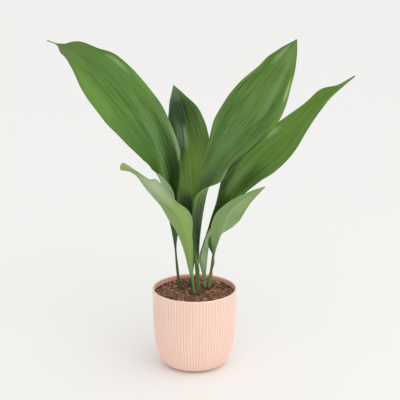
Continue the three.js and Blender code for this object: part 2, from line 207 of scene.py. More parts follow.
class Nodes:
    """The nodes of one material, or of the surroundings."""

    def __init__(self, owner: bpy.types.Material | bpy.types.World) -> None:
        """Start without nodes.

        Args:
            owner: The material or the world that the nodes belong to.
        """
        owner.use_nodes = True
        self.owner = owner
        self.tree = owner.node_tree
        self.tree.nodes.clear()

    def node(
        self, kind: str, settings: dict | None = None, inputs: dict | None = None, output: int | str = 0
    ) -> Socket:
        """Add a node.

        Args:
            kind: The node's type.
            settings: Its properties, set first; "stops" are the places and colours of a ramp.
            inputs: A value or a Socket for each input, by its name or number.
            output: Which output to return.

        Returns:
            The chosen output.
        """
        made = self.tree.nodes.new(kind)
        for name, value in (settings or {}).items():
            if name == "stops":
                elements = made.color_ramp.elements
                while len(elements) < len(value):
                    elements.new(0.5)
                for element, (position, colour) in zip(elements, value):
                    element.position = position
                    element.color = (*colour, 1.0)
            else:
                setattr(made, name, value)
        for key, value in (inputs or {}).items():
            if isinstance(value, Socket):
                self.tree.links.new(value.link, made.inputs[key])
            elif isinstance(value, tuple) and len(value) == 3 and made.inputs[key].type == "RGBA":
                made.inputs[key].default_value = (*value, 1.0)
            else:
                made.inputs[key].default_value = value
        return Socket(self, made.outputs[output])

    def mix(self, share: Value, first: Colour | Socket, second: Colour | Socket) -> Socket:
        """Return a colour that goes from first to second as share goes from 0 to 1."""
        return self.node("ShaderNodeMix", {"data_type": "RGBA"}, {0: share, 6: first, 7: second}, 2)

    def tint(self, share: Value, colour: Socket, tint: Colour) -> Socket:
        """Return a colour, multiplied by a tint where share is 1."""
        settings = {"data_type": "RGBA", "blend_type": "MULTIPLY"}
        return self.node("ShaderNodeMix", settings, {0: share, 6: colour, 7: tint}, 2)

    def ramp(self, share: Socket, stops: Sequence[tuple[float, Colour]]) -> Socket:
        """Return the colour of a ramp at share."""
        return self.node("ShaderNodeValToRGB", {"stops": stops}, {0: share})

    def attribute(self, name: str) -> Socket:
        """Return a number that the mesh keeps at each of its points."""
        return self.node("ShaderNodeAttribute", {"attribute_name": name}, None, "Fac")

    def position(self) -> Socket:
        """Return the place on the piece, in metres."""
        return self.node("ShaderNodeTexCoord", None, None, "Object")

    def point(self, x: Value, y: Value, z: Value) -> Socket:
        """Return a vector made of three numbers."""
        return self.node("ShaderNodeCombineXYZ", None, {0: x, 1: y, 2: z})

    def cloud(self, vector: Socket, scale: float, detail: float, roughness: float = 0.5) -> Socket:
        """Return soft noise between about 0.3 and 0.7 at a vector."""
        inputs = {"Vector": vector, "Scale": scale, "Detail": detail, "Roughness": roughness}
        return self.node("ShaderNodeTexNoise", None, inputs)

    def finish(
        self,
        colour: Socket,
        roughness: Value,
        bumps: Sequence[tuple[Socket, float]],
        coat: Value = 0.0,
        **fixed: float | tuple[float, ...],
    ) -> bpy.types.Material:
        """Join everything to one shader.

        Args:
            colour: The base colour.
            roughness: The roughness.
            bumps: Pairs of a height between 0 and 1 and the metres that 1 stands for.
            coat: The weight of the waxy coat.
            **fixed: Other inputs of the shader, with spaces as underscores.

        Returns:
            The finished material.
        """
        inputs = {"Base Color": colour, "Roughness": roughness, "Coat Weight": coat}
        inputs.update({name.replace("_", " "): value for name, value in fixed.items()})
        relief = {"Strength": 1.0, "Distance": 1.0, "Height": sum(bump * metres for bump, metres in bumps)}
        inputs["Normal"] = self.node("ShaderNodeBump", None, relief)
        self.show(self.node("ShaderNodeBsdfPrincipled", None, inputs), "ShaderNodeOutputMaterial")
        return self.owner

    def show(self, shader: Socket, output: str) -> None:
        """Join a shader to a new output node of the kind that is named."""
        made = self.tree.nodes.new(output)
        self.tree.links.new(shader.link, made.inputs["Surface"])


@dataclass(frozen=True)
class Streaks:
    """Soft noise that is drawn out along a leaf.

    Across and along are how fast it changes with the share of the half width and with the metres along the
    leaf, and start tells it from the leaf's other noises.
    """

    across: float
    along: float
    start: float
    detail: float

    def noise(self, share: Socket, along: Socket, seed: float) -> Socket:
        """Return the noise.

        Args:
            share: The share of the half width.
            along: The metres along the leaf.
            seed: What tells this leaf from the others.

        Returns:
            The noise.
        """
        nodes = share.nodes
        spot = nodes.point(share * self.across, along * self.along, seed + self.start)
        return nodes.cloud(spot, 1.0, self.detail)


@dataclass(frozen=True)
class Patch:
    """A soft oval stretch of a leaf with a colour of its own: a painted sheen, highlight, reflection or
    shade, a painted cast shadow, or a real tint such as an olive tip.

    Share and place are each a centre and a reach, in shares of the half width across the leaf and in stations
    along it. Lean shifts the centre's share for each station, so that the stretch lies aslant. Streaks breaks
    it up lengthwise, gloss is how waxy it is, and core is how far out it keeps its full strength.
    """

    colour: Colour
    strength: float
    share: Pair
    place: Pair
    streaks: float = 0.3
    gloss: float = 0.0
    lean: float = 0.0

    core: float = 0.1
    break_up: float = 10.0

    def mask(self, share: Socket, place: Socket, lines: Socket) -> Socket:
        """Return how strongly the patch shows, from 0 to its strength.

        Args:
            share: The share of the half width.
            place: The place in stations.
            lines: Soft noise in lines along the leaf.

        Returns:
            The strength.
        """
        (middle, width), (centre, length) = self.share, self.place
        along = (place - centre) * (1.0 / length)
        across = (share - middle) * (1.0 / width) - along * (self.lean * length / width)
        away = across * across + along * along + (lines - 0.5) * (self.streaks * self.break_up)
        return (1.0 - away.rise(self.core, 1.0)) * self.strength


@dataclass(frozen=True)
class LeafFinish:
    """Leathery leaf skin: its greens, its waxy coat, its lengthwise veins, and patches of painted sheen and
    painted shade.

    The mesh gives each point its share of the half width, its metres and stations along the leaf, its metres
    from the tip, the midrib and the margin, and how far the stalk has become a blade. A pair whose name ends
    in from or to is where an eased change starts and ends. Depths are in metres.
    """

    name: str
    light: Colour
    dark: Colour
    warm: Colour
    stalk: Colour
    midrib: Colour
    margin: Colour = (0.24, 0.36, 0.09)
    tip: Colour = (0.15, 0.12, 0.05)
    tip_length: float = 0.009
    roughness: float = 0.42
    streak: float = 0.85
    midrib_strength: float = 0.35
    vein_depth: float = 0.00005
    seed: float = 0.0
    patches: tuple[Patch, ...] = ()

    bands: Streaks = Streaks(5.0, 4.0, 0.0, PLAIN)
    lines: Streaks = Streaks(26.0, 9.0, 3.0, RICH)
    hairlines: Streaks = Streaks(80.0, 16.0, 7.0, PLAIN)
    blotches: Streaks = Streaks(2.2, 11.0, 5.0, RICH)
    line_weight: float = 0.55
    hairline_weight: float = 0.45
    band_weight: float = 0.25
    light_from: Pair = (0.40, 0.64)
    warm_streak: float = 0.4
    warm_from: Pair = (0.45, 0.72)
    warm_strength: float = 0.4
    midrib_to: Pair = (0.0003, 0.0011)
    margin_to: Pair = (0.0, 0.0010)
    margin_strength: float = 0.5
    stalk_from: Pair = (0.35, 0.65)
    stalk_streak: float = 0.3
    tip_waver: float = 0.005
    tip_start: float = 0.002
    band_gloss: float = 0.2
    dull_band: float = 0.35
    line_roughness: float = 0.25
    hairline_roughness: float = 0.12
    vein_rate: float = 150.0
    vein_waver: float = 2.0
    hairline_share: float = 2.2
    grain_scale: float = 900.0
    grain_depth: float = 0.000012
    specular: float = 0.22
    coat_roughness: float = 0.3

    def material(self) -> bpy.types.Material:
        """Build the material.

        Returns:
            The finished material.
        """
        nodes = Nodes(bpy.data.materials.new(self.name))
        share, along, place, from_tip, from_midrib, from_margin, blade = map(nodes.attribute, LEAF_LAYERS)
        bands, lines, hairlines, blotches = (
            streaks.noise(share, along, self.seed)
            for streaks in (self.bands, self.lines, self.hairlines, self.blotches)
        )
        grain = nodes.cloud(nodes.position(), self.grain_scale, PLAIN)

        depth = lines * self.line_weight + hairlines * self.hairline_weight
        depth = depth + bands * self.band_weight - self.band_weight / 2
        greens = nodes.mix(depth.rise(*self.light_from) * self.streak, self.dark, self.light)
        warmth = (blotches + (lines - 0.5) * self.warm_streak).rise(*self.warm_from)
        greens = nodes.mix(warmth * self.warm_strength, greens, self.warm)
        strands = lines * self.hairline_weight + hairlines * self.line_weight
        gloss: Value = (bands - self.dull_band) * self.band_gloss
        # The patches paint sheen, highlights, reflections, shade and cast shadows into the greens, besides
        # real tints.
        for patch in self.patches:
            mask = patch.mask(share, place, strands)
            greens = nodes.mix(mask, greens, patch.colour)
            if patch.gloss:
                gloss = gloss + mask * patch.gloss
        midrib_mask = 1.0 - from_midrib.rise(*self.midrib_to)
        greens = nodes.mix(midrib_mask * self.midrib_strength, greens, self.midrib)
        margin_mask = 1.0 - from_margin.rise(*self.margin_to)
        greens = nodes.mix(margin_mask * self.margin_strength, greens, self.margin)
        stalk = nodes.mix(hairlines.rise(*self.stalk_from) * self.stalk_streak, self.stalk, self.midrib)
        colour = nodes.mix(blade, stalk, greens)
        tip_mask = 1.0 - (from_tip + lines * self.tip_waver).rise(self.tip_start, self.tip_length)
        colour = nodes.mix(tip_mask, colour, self.tip)

        roughness = self.roughness + (lines - 0.5) * self.line_roughness
        roughness = roughness + (hairlines - 0.5) * self.hairline_roughness
        veins = (share * self.vein_rate + (bands + lines) * self.vein_waver).sine() * 0.5 + 0.5
        bumps = [
            (veins, self.vein_depth),
            (hairlines, self.vein_depth * self.hairline_share),
            (grain, self.grain_depth),
        ]
        fixed = {"Specular_IOR_Level": self.specular, "Coat_Roughness": self.coat_roughness}
        return nodes.finish(colour, roughness, bumps, gloss, **fixed)


@dataclass(frozen=True)
class PotFinish:
    """Satin moulded plastic in pale pink, warmer towards the foot, with painted shade in the grooves and on
    the lip's top, and an inner wall painted pinker for light shining through the thin plastic.
    """

    crest: Colour = (0.965, 0.700, 0.610)
    groove: Colour = (0.860, 0.540, 0.430)
    inner: Colour = (0.96, 0.59, 0.49)
    inner_groove_shade: Colour = (0.50, 0.23, 0.18)
    roughness: float = 0.42

    groove_shade_strength: float = 0.8
    inner_groove_shade_strength: float = 0.7
    cloud_scale: float = 14.0
    cloud_from: Pair = (0.3, 0.75)
    cloud_strength: float = 0.12
    cloud_roughness: float = 0.12
    lip_shade_from: Pair = (0.1666, 0.1676)
    lip_shade_strength: float = 0.2
    foot_to: Pair = (0.0, 0.045)
    foot_strength: float = 0.35
    grain_scale: float = 1500.0
    grain_depth: float = 0.00001
    glow: float = 0.25
    glow_radius: Colour = (1.0, 0.45, 0.35)
    glow_scale: float = 0.006
    specular: float = 0.45

    def material(self) -> bpy.types.Material:
        """Build the material.

        Returns:
            The finished material.
        """
        nodes = Nodes(bpy.data.materials.new("satin_plastic"))
        clouds = nodes.cloud(nodes.position(), self.cloud_scale, PLAIN)
        grain = nodes.cloud(nodes.position(), self.grain_scale, PLAIN)
        groove = nodes.attribute("groove")
        # Painted shade: the grooves between the ribs take a darker, warmer colour.
        colour = nodes.mix(groove * self.groove_shade_strength, self.crest, self.groove)
        colour = nodes.mix(clouds.rise(*self.cloud_from) * self.cloud_strength, colour, self.groove)
        # The inner wall is painted pinker to stand for light shining through the thin plastic, with painted
        # shade in its grooves.
        inside = nodes.mix(groove * self.inner_groove_shade_strength, self.inner, self.inner_groove_shade)
        colour = nodes.mix(nodes.attribute("inner"), colour, inside)
        height = nodes.node("ShaderNodeSeparateXYZ", None, {0: nodes.position()}, "Z")
        # Painted shade: the top of the lip is darkened towards the groove colour.
        colour = nodes.mix(height.rise(*self.lip_shade_from) * self.lip_shade_strength, colour, self.groove)
        colour = nodes.mix((1.0 - height.rise(*self.foot_to)) * self.foot_strength, colour, self.groove)
        fixed = {
            "Specular_IOR_Level": self.specular,
            "Subsurface_Weight": self.glow,
            "Subsurface_Radius": self.glow_radius,
            "Subsurface_Scale": self.glow_scale,
        }
        roughness = self.roughness + (clouds - 0.5) * self.cloud_roughness
        return nodes.finish(colour, roughness, [(grain, self.grain_depth)], **fixed)


@dataclass(frozen=True)
class SoilFinish:
    """Peat and fibre: dark in the gaps, paler on the lumps, here redder and there more olive; the tone it
    reads carries painted shade by the stalks and the pot's wall.
    """

    name: str
    stops: tuple[tuple[float, Colour], ...]
    roughness: float = 0.95

    mottle_scale: float = 420.0
    mottle_detail: float = 4.0
    mottle_sharpness: float = 0.65
    clump_scale: float = 55.0
    hue_scale: float = 190.0
    tone_weight: float = 0.70
    mottle_weight: float = 0.40
    clump_weight: float = 0.9
    darkening: float = 0.56
    red: Colour = (1.0, 0.78, 0.72)
    red_from: Pair = (0.50, 0.60)
    olive: Colour = (0.82, 0.95, 0.68)
    olive_to: Pair = (0.38, 0.48)
    depth: float = 0.0006
    specular: float = 0.25

    def material(self) -> bpy.types.Material:
        """Build the material.

        Returns:
            The finished material.
        """
        nodes = Nodes(bpy.data.materials.new(self.name))
        tone = nodes.attribute("tone")
        mottle = nodes.cloud(nodes.position(), self.mottle_scale, self.mottle_detail, self.mottle_sharpness)
        clumps = nodes.cloud(nodes.position(), self.clump_scale, RICH)
        hues = nodes.cloud(nodes.position(), self.hue_scale, PLAIN)
        share = tone * self.tone_weight + mottle * self.mottle_weight + clumps * self.clump_weight
        colour = nodes.ramp(share - self.darkening, self.stops)
        colour = nodes.tint(hues.rise(*self.red_from), colour, self.red)
        colour = nodes.tint(1.0 - hues.rise(*self.olive_to), colour, self.olive)
        return nodes.finish(colour, self.roughness, [(mottle, self.depth)], Specular_IOR_Level=self.specular)


@dataclass(frozen=True)
class SheathFinish:
    """Papery scale leaf: green at its foot, dry and orange brown towards its tip."""

    green: Colour = (0.165, 0.280, 0.095)
    straw: Colour = (0.270, 0.250, 0.085)
    brown: Colour = (0.270, 0.165, 0.070)

    lines: Streaks = Streaks(22.0, 60.0, 2.0, RICH)
    line_depth: float = 0.00025
    waver: float = 0.012
    straw_from: Pair = (0.041, 0.053)
    brown_from: Pair = (0.053, 0.062)
    roughness: float = 0.6
    line_roughness: float = 0.3
    specular: float = 0.3

    def material(self) -> bpy.types.Material:
        """Build the material.

        Returns:
            The finished material.
        """
        nodes = Nodes(bpy.data.materials.new("dry_sheath"))
        share, along = map(nodes.attribute, SHEATH_LAYERS)
        lines = self.lines.noise(share, along, 0.0)
        height = along + (lines - 0.5) * self.waver
        colour = nodes.mix(height.rise(*self.straw_from), self.green, self.straw)
        colour = nodes.mix(height.rise(*self.brown_from), colour, self.brown)
        roughness = self.roughness + (lines - 0.5) * self.line_roughness
        return nodes.finish(colour, roughness, [(lines, self.line_depth)], Specular_IOR_Level=self.specular)


@dataclass(frozen=True)
class FloorFinish:
    """Plain pale matt floor."""

    colour: Colour = (0.925, 0.922, 0.917)
    darker: float = 0.985
    cloud_scale: float = 1.5
    grain_scale: float = 300.0
    grain_depth: float = 0.00002
    roughness: float = 0.85
    specular: float = 0.2

    def material(self) -> bpy.types.Material:
        """Build the material.

        Returns:
            The finished material.
        """
        nodes = Nodes(bpy.data.materials.new("pale_floor"))
        clouds = nodes.cloud(nodes.position(), self.cloud_scale, PLAIN)
        grain = nodes.cloud(nodes.position(), self.grain_scale, PLAIN)
        colour = nodes.mix(clouds, self.colour, tuple(channel * self.darker for channel in self.colour))
        bumps = [(grain, self.grain_depth)]
        return nodes.finish(colour, self.roughness, bumps, Specular_IOR_Level=self.specular)


def linked(name: str, data: bpy.types.ID) -> bpy.types.Object:
    """Put a new object in the scene.

    Args:
        name: Its name.
        data: The mesh, camera or light that it shows.

    Returns:
        The object.
    """
    made = bpy.data.objects.new(name, data)
    bpy.context.scene.collection.objects.link(made)
    return made


class Piece:
    """One mesh under construction, and the object that it becomes."""

    def __init__(self, name: str) -> None:
        """Start an empty mesh.

        Args:
            name: The name of the object to come.
        """
        self.name = name
        self.mesh = bmesh.new()

    def layer(self, name: str) -> bmesh.types.BMLayerItem:
        """Return a new layer, which keeps one number for each point of the mesh."""
        return self.mesh.verts.layers.float.new(name)

    def line(self, points: Sequence[Row]) -> list[Part]:
        """Add a line through points in millimetres, and return its points and edges."""
        verts = [self.mesh.verts.new([number * MM for number in point]) for point in points]
        return verts + [self.mesh.edges.new(pair) for pair in zip(verts, verts[1:])]

    def spin(self, parts: list[Part], turn: float, steps: int, **options: bool) -> None:
        """Turn some parts of the mesh round the pot's axis.

        Args:
            parts: Points, edges and faces.
            turn: The whole angle, in radians.
            steps: How many steps it takes.
            **options: The operator's own choices.
        """
        axis = {"cent": (0, 0, 0), "axis": (0, 0, 1), "dvec": (0, 0, 0)}
        bmesh.ops.spin(self.mesh, geom=parts, angle=turn, steps=steps, **axis, **options)

    def close(self) -> None:
        """Merge points that coincide, and turn every face outwards."""
        bmesh.ops.remove_doubles(self.mesh, verts=self.mesh.verts[:], dist=SAME_PLACE)
        bmesh.ops.recalc_face_normals(self.mesh, faces=self.mesh.faces[:])

    def sheet(self, columns: int, rows: int) -> list[tuple[bmesh.types.BMVert, int, int, int]]:
        """Make a closed flat box, one face thick, to be bent into a leaf.

        Args:
            columns: How many faces lie across.
            rows: How many faces lie along.

        Returns:
            Each point with its column, its row, and 1 on the upper face or -1 on the lower one.
        """
        mesh = self.mesh
        bmesh.ops.create_grid(mesh, x_segments=columns, y_segments=rows, size=1.0)
        lower = set(mesh.verts)
        bmesh.ops.extrude_face_region(mesh, geom=mesh.faces[:])
        for vert in mesh.verts:
            vert.co.z = -0.5 if vert in lower else 0.5
        bmesh.ops.recalc_face_normals(mesh, faces=mesh.faces[:])
        for face in mesh.faces:
            face.material_index = (Skin.UPPER if face.normal.z > -0.5 else Skin.UNDER).value
        points = []
        for vert in mesh.verts:
            column = round((vert.co.x + 1) / 2 * columns)
            row = round((vert.co.y + 1) / 2 * rows)
            points.append((vert, column, row, -1 if vert in lower else 1))
        return points

    def stamp(self, pattern: "Piece", count: int) -> list[list[bmesh.types.BMVert]]:
        """Add copies of a small piece.

        Args:
            pattern: The piece to copy, which is used up.
            count: How many copies to add.

        Returns:
            The points of each copy.
        """
        data = bpy.data.meshes.new(pattern.name)
        pattern.mesh.to_mesh(data)
        pattern.mesh.free()
        size = len(data.vertices)
        for _ in range(count):
            self.mesh.from_mesh(data)
        bpy.data.meshes.remove(data)
        self.mesh.verts.ensure_lookup_table()
        return [self.mesh.verts[start : start + size] for start in range(0, count * size, size)]

    def finished(self, slot: Slot, finishes: Sequence[bpy.types.Material], *nodes: str) -> bpy.types.Object:
        """Turn the mesh into an object that rides on the frame.

        Args:
            slot: The record's slot meant for the piece; it is not used.
            finishes: The piece's materials, in the order of their faces' numbers.
            *nodes: The CAD nodes that the piece stands for.

        Returns:
            The object.
        """
        for face in self.mesh.faces:
            face.smooth = True
        data = bpy.data.meshes.new(self.name)
        self.mesh.to_mesh(data)
        self.mesh.free()
        for finish in finishes:
            data.materials.append(finish)
        made = linked(self.name, data)
        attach(made, BODY)
        if nodes:
            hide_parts(*nodes)
        log.info("%s: %d faces", self.name, len(data.polygons))
        return made


@dataclass(frozen=True)
class Cut:
    """A leaf's cross section at one place: where it lies and how it is turned."""

    row: list[float]
    spine: Vector
    across: Vector
    face: Vector


@dataclass(frozen=True)
class Leaf:
    """One leaf, stalk and blade together, in millimetres.

    A station is a place along the leaf, from its foot in the soil to its tip. Its row holds x, y, z and the
    turn about the leaf's own line (0 shows the upper face to the viewer, 180 the underside), then its width,
    its lift and its curl in degrees, first for the left half and then for the right one. Lift is the slope at
    the midrib and curl what the slope gains to the margin.

    The neck is the place where the stalk becomes a blade. Waves are how many the margin has and where they
    begin. A dent has a place, a side, a depth as a share of the width, below 0 for a bulge, and a reach in
    stations. Pleats are rows of how close they lie, how deep they are and where they begin. Edge, keel, rim
    half and stalk core are half thicknesses, and stalk depth is a stalk's as a share of its half width.
    """

    name: str
    slot: Slot
    neck: float
    waves: Pair
    stations: tuple[Row, ...]
    upper: LeafFinish
    under: LeafFinish
    seed: int
    blunt: bool = False
    dents: tuple[Row, ...] = ()
    columns_per_half: int = 46
    rows_per_station: int = 10

    blade_start: float = -0.6
    blade_end: float = 1.4
    skin_end: float = 1.0
    edge: float = 0.30
    rim_share: float = 0.012
    rim_half: float = 0.14
    keel: float = 1.1
    keel_at_tip: float = 0.5
    keel_reach: float = 2.6
    groove: float = 0.35
    groove_reach: float = 1.3
    groove_on_stalk: float = 1.6
    stalk_depth: float = 0.78
    stalk_core: float = 3.0
    wave: float = 0.035
    wave_lag: float = 0.21
    side_seed: float = 5.0
    ripple_seed: float = 2.7
    pleat_seed: float = 1.7
    buckle_seed: float = 3.1
    blunt_reach: float = 0.35
    blunt_share: float = 0.98
    ripple: float = 0.02
    ripple_rate: float = 1.9
    ripple_end: float = 2.0
    pleat: float = 0.16
    pleats: tuple[Row, ...] = ((24.0, 1.0, 1.0), (37.0, 0.7, 2.3), (58.0, 0.5, 4.1))
    pleat_width: float = 30.0
    pleat_from: Pair = (0.03, 0.12)
    buckle: float = 1.4
    buckle_rate: Pair = (1.8, 0.9)
    buckle_width: float = 40.0

    @property
    def last(self) -> int:
        """The place of the tip."""
        return len(self.stations) - 1

    def cut(self, place: float) -> Cut:
        """Work out the leaf's cross section at a place.

        Args:
            place: The place in stations.

        Returns:
            The cross section.
        """
        step = 0.01
        before = Vector(along_rows(self.stations, max(place - step, 0))[:3])
        after = Vector(along_rows(self.stations, min(place + step, self.last))[:3])
        along = (after - before).normalized()
        row = along_rows(self.stations, place)
        across = Vector((0, 1, 0)).cross(along).normalized()
        across.rotate(Matrix.Rotation(math.radians(row[3]), 3, along))
        return Cut(row, Vector(row[:3]), across, across.cross(along))

    def width_scale(self, place: float) -> float:
        """Find how a blunt tip rounds off its last stretch.

        Args:
            place: The place in stations.

        Returns:
            What the width is multiplied by.
        """
        if not self.blunt:
            return 1.0
        ahead = clamp((place - self.last + self.blunt_reach) / self.blunt_reach)
        return math.sqrt(1 - self.blunt_share * ahead**2)

    def margin_scale(self, place: float, side: int) -> float:
        """Find the small unevenness of a margin: its ripples, dents and bulges.

        Args:
            place: The place in stations.
            side: -1 for the left margin and 1 for the right one.

        Returns:
            What the width is multiplied by.
        """
        spot = Vector((place * self.ripple_rate, side * self.side_seed, self.seed * self.ripple_seed))
        ripple = noise.noise(spot) * self.ripple
        blade = smoothstep(place, self.neck, self.neck + self.ripple_end)
        dents = sum(
            depth * math.exp(-(((place - middle) / reach) ** 2))
            for middle, dented, depth, reach in self.dents
            if dented == side
        )
        return 1 + ripple * blade - dents

    def half(self, cut: Cut, place: float, share: float) -> tuple[float, Vector, Vector]:
        """Find a point of the leaf's middle surface.

        Args:
            cut: The cross section.
            place: Its place.
            share: The share of the half width, from -1 at the left margin to 1 at the right one.

        Returns:
            The half's width, the point and the direction that the upper face looks there.
        """
        side = -1 if share < 0 else 1
        width, lift, curl = cut.row[4:7] if side < 0 else cut.row[7:10]
        width *= self.width_scale(place) * self.margin_scale(place, side)
        lift = math.radians(lift)
        curl = math.radians(curl) or STRAIGHT
        reach = abs(share)
        slope = lift + curl * reach
        run = width * (math.sin(slope) - math.sin(lift)) / curl
        rise = width * (math.cos(lift) - math.cos(slope)) / curl
        normal = cut.face * math.cos(slope) - cut.across * side * math.sin(slope)
        count, phase = self.waves
        turns = count * place / self.last + phase + self.wave_lag * side
        wave = self.wave * width * reach**3 * math.sin(2 * math.pi * turns)
        return width, cut.spine + cut.across * side * run + cut.face * rise + normal * wave, normal

    def relief(self, place: float, share: float, width: float) -> float:
        """Find how far pleats and buckles push the blade along its normal.

        Args:
            place: The place in stations.
            share: The share of the half width.
            width: The half's width.

        Returns:
            The distance.
        """
        reach = abs(share)
        start = self.seed * self.pleat_seed
        pleats = sum(size * math.sin(share * rate + shift * start) for rate, size, shift in self.pleats)
        pleats *= self.pleat * clamp(width / self.pleat_width)
        pleats *= smoothstep(reach, *self.pleat_from) * (1 - reach**6)
        across_rate, along_rate = self.buckle_rate
        spot = Vector((share * across_rate, place * along_rate, self.seed * self.buckle_seed))
        return pleats + self.buckle * clamp(width / self.buckle_width) * reach * noise.noise(spot)

    def thickness(self, cut: Cut, place: float, share: float, width: float) -> Pair:
        """Find how far the two faces stand from the middle surface.

        Args:
            cut: The cross section.
            place: Its place.
            share: The share of the half width.
            width: The half's width.

        Returns:
            The distance of the upper face and of the lower face.
        """
        if abs(share) == 1:
            return self.rim_half, self.rim_half
        blade = smoothstep(place, self.neck + self.blade_start, self.neck + self.blade_end)
        tip = clamp((place - self.neck) / (self.last - self.neck))
        keel = lerp(self.keel, self.keel_at_tip, tip)
        stalk = min(self.stalk_depth * cut.row[4], self.stalk_core)
        round_stalk = self.rim_half + (stalk - self.rim_half) * math.sqrt(1 - share * share)
        distance = abs(share) * width
        ridge = math.exp(-((distance / self.keel_reach) ** 2))
        flat = self.edge + (keel - self.edge) * ridge
        channel = self.groove * math.exp(-((distance / self.groove_reach) ** 2))
        half = lerp(round_stalk, flat, blade)
        return half - channel * lerp(self.groove_on_stalk, 1.0, blade), half

    def shares(self) -> list[float]:
        """Space the columns evenly, but for a narrow last one that rounds the margin.

        Returns:
            The share of the half width at each column's edge.
        """
        inner = self.columns_per_half - 1
        right = [step / inner * (1 - self.rim_share) for step in range(inner + 1)] + [1.0]
        return [-share for share in reversed(right[1:])] + right

    def build(self) -> bpy.types.Object:
        """Build the leaf.

        Returns:
            The finished object.
        """
        piece = Piece(self.name + "_grown")
        shares = self.shares()
        rows = self.last * self.rows_per_station
        layers = [piece.layer(name) for name in LEAF_LAYERS]
        points = piece.sheet(len(shares) - 1, rows)
        places = [row / self.rows_per_station for row in range(rows + 1)]
        cuts = [self.cut(place) for place in places]
        lengths = [0.0]
        for before, after in zip(cuts, cuts[1:]):
            lengths.append(lengths[-1] + (after.spine - before.spine).length * MM)
        for vert, column, row, level in points:
            share, place, cut = shares[column], places[row], cuts[row]
            width, point, normal = self.half(cut, place, share)
            if share == 0:
                normal = (normal + self.half(cut, place, -HAIR)[2]).normalized()
            up, down = self.thickness(cut, place, share, width)
            blade = smoothstep(place, self.neck + self.blade_start, self.neck + self.skin_end)
            push = self.relief(place, share, width) * blade
            vert.co = (point + normal * (push + (up if level > 0 else -down))) * MM
            reach = abs(share) * width * MM
            to_tip, to_margin = lengths[-1] - lengths[row], width * MM - reach
            values = (share, lengths[row], place, to_tip, reach, to_margin, blade)
            for layer, value in zip(layers, values):
                vert[layer] = value
        finishes = [self.upper.material(), self.under.material()]
        return piece.finished(self.slot, finishes, self.name)


UPPER = LeafFinish(
    name="upper_skin",
    light=(0.122, 0.262, 0.038),
    dark=(0.052, 0.132, 0.017),
    warm=(0.143, 0.235, 0.042),
    stalk=(0.046, 0.072, 0.030),
    midrib=(0.150, 0.290, 0.075),
)
UNDER = LeafFinish(
    name="under_skin",
    light=(0.270, 0.400, 0.120),
    dark=(0.190, 0.310, 0.084),
    warm=(0.300, 0.395, 0.170),
    stalk=(0.180, 0.290, 0.110),
    midrib=(0.300, 0.430, 0.180),
    roughness=0.5,
    midrib_strength=0.3,
    vein_depth=0.00007,
)


def skins(name: str, seed: float, upper: dict, under: dict) -> dict[str, LeafFinish]:
    """Dress one leaf.

    Args:
        name: The name that its finishes start with.
        seed: What tells its noises from those of the other leaves.
        upper: What its upper face has otherwise than the common one.
        under: What its underside has otherwise than the common one.

    Returns:
        The finishes of its two faces.
    """
    return {
        "upper": replace(UPPER, name=f"{name}_upper_skin", seed=seed, **upper),
        "under": replace(UNDER, name=f"{name}_under_skin", seed=seed + UNDER_START, **under),
    }


# Left large leaf: an olive tip, a yellow-green margin and tone changes; painted sheen streaks and highlights,
# a paler painted margin band where the right half turns up to the light, and painted shade in the hollow of
# the right half near the base.
LEFT_LARGE_UPPER = (
    Patch((0.125, 0.185, 0.060), 0.75, (-0.1, 1.7), (13.2, 1.9), 0.35, 0.3),
    Patch((0.052, 0.120, 0.022), 0.60, (-0.40, 0.60), (7.8, 1.5), 0.6),
    Patch((0.190, 0.365, 0.062), 0.50, (-0.72, 0.34), (10.6, 1.4), 0.6, 0.1),
    Patch((0.070, 0.172, 0.024), 0.65, (-0.60, 0.55), (8.5, 1.2), 0.6, 0.0),
    Patch((0.150, 0.285, 0.070), 0.30, (0.45, 0.50), (10.6, 1.2), 0.6, 0.2),
    Patch((0.270, 0.410, 0.160), 0.65, (0.81, 0.09), (10.75, 0.45), 0.8, 0.5),
    Patch((0.180, 0.360, 0.036), 0.45, (0.94, 0.14), (9.9, 0.7), 0.5),
    Patch((0.125, 0.240, 0.065), 0.50, (0.86, 0.16), (9.0, 1.1), 1.0, 0.4),
    Patch((0.050, 0.115, 0.020), 0.60, (0.03, 0.10), (8.6, 1.2), 0.9),
    Patch((0.190, 0.290, 0.130), 0.50, (0.98, 0.16), (7.9, 1.4), 0.5, 0.4),
    Patch((0.155, 0.315, 0.105), 0.60, (0.27, 0.20), (8.3, 1.5), 1.5, 0.4, 0.05),
    Patch((0.165, 0.320, 0.125), 0.75, (0.08, 0.16), (6.9, 1.4), 1.5, 0.5, 0.05),
    Patch((0.012, 0.032, 0.007), 0.97, (0.60, 0.50), (6.3, 2.6), 0.45),
    Patch((0.225, 0.325, 0.150), 0.80, (1.0, 0.20), (7.7, 1.20), 0.3, 0.4),
)
# Centre back leaf: a paler lower part; painted shade over its top, its left half and its base, and painted
# reflection and sheen streaks on its left half.
CENTRE_BACK_UPPER = (
    Patch((0.230, 0.390, 0.080), 0.80, (0.15, 0.9), (6.2, 1.7), 0.8),
    Patch((0.008, 0.040, 0.012), 0.95, (-0.35, 1.20), (9.4, 1.7), 0.5),
    Patch((0.050, 0.100, 0.035), 0.60, (0.70, 0.50), (9.6, 1.2), 0.5),
    Patch((0.010, 0.044, 0.012), 0.90, (-0.66, 0.50), (8.0, 1.4), 0.5),
    Patch((0.300, 0.410, 0.300), 0.70, (-0.16, 0.12), (7.95, 0.45), 1.6, 0.4),
    Patch((0.200, 0.290, 0.185), 0.60, (-0.46, 0.15), (8.2, 0.45), 1.6, 0.5),
    Patch((0.095, 0.160, 0.092), 0.70, (-0.10, 0.9), (10.4, 0.7), 0.5, 0.4),
    Patch((0.010, 0.026, 0.006), 0.95, (-0.40, 1.1), (4.9, 1.0), 0.4),
)
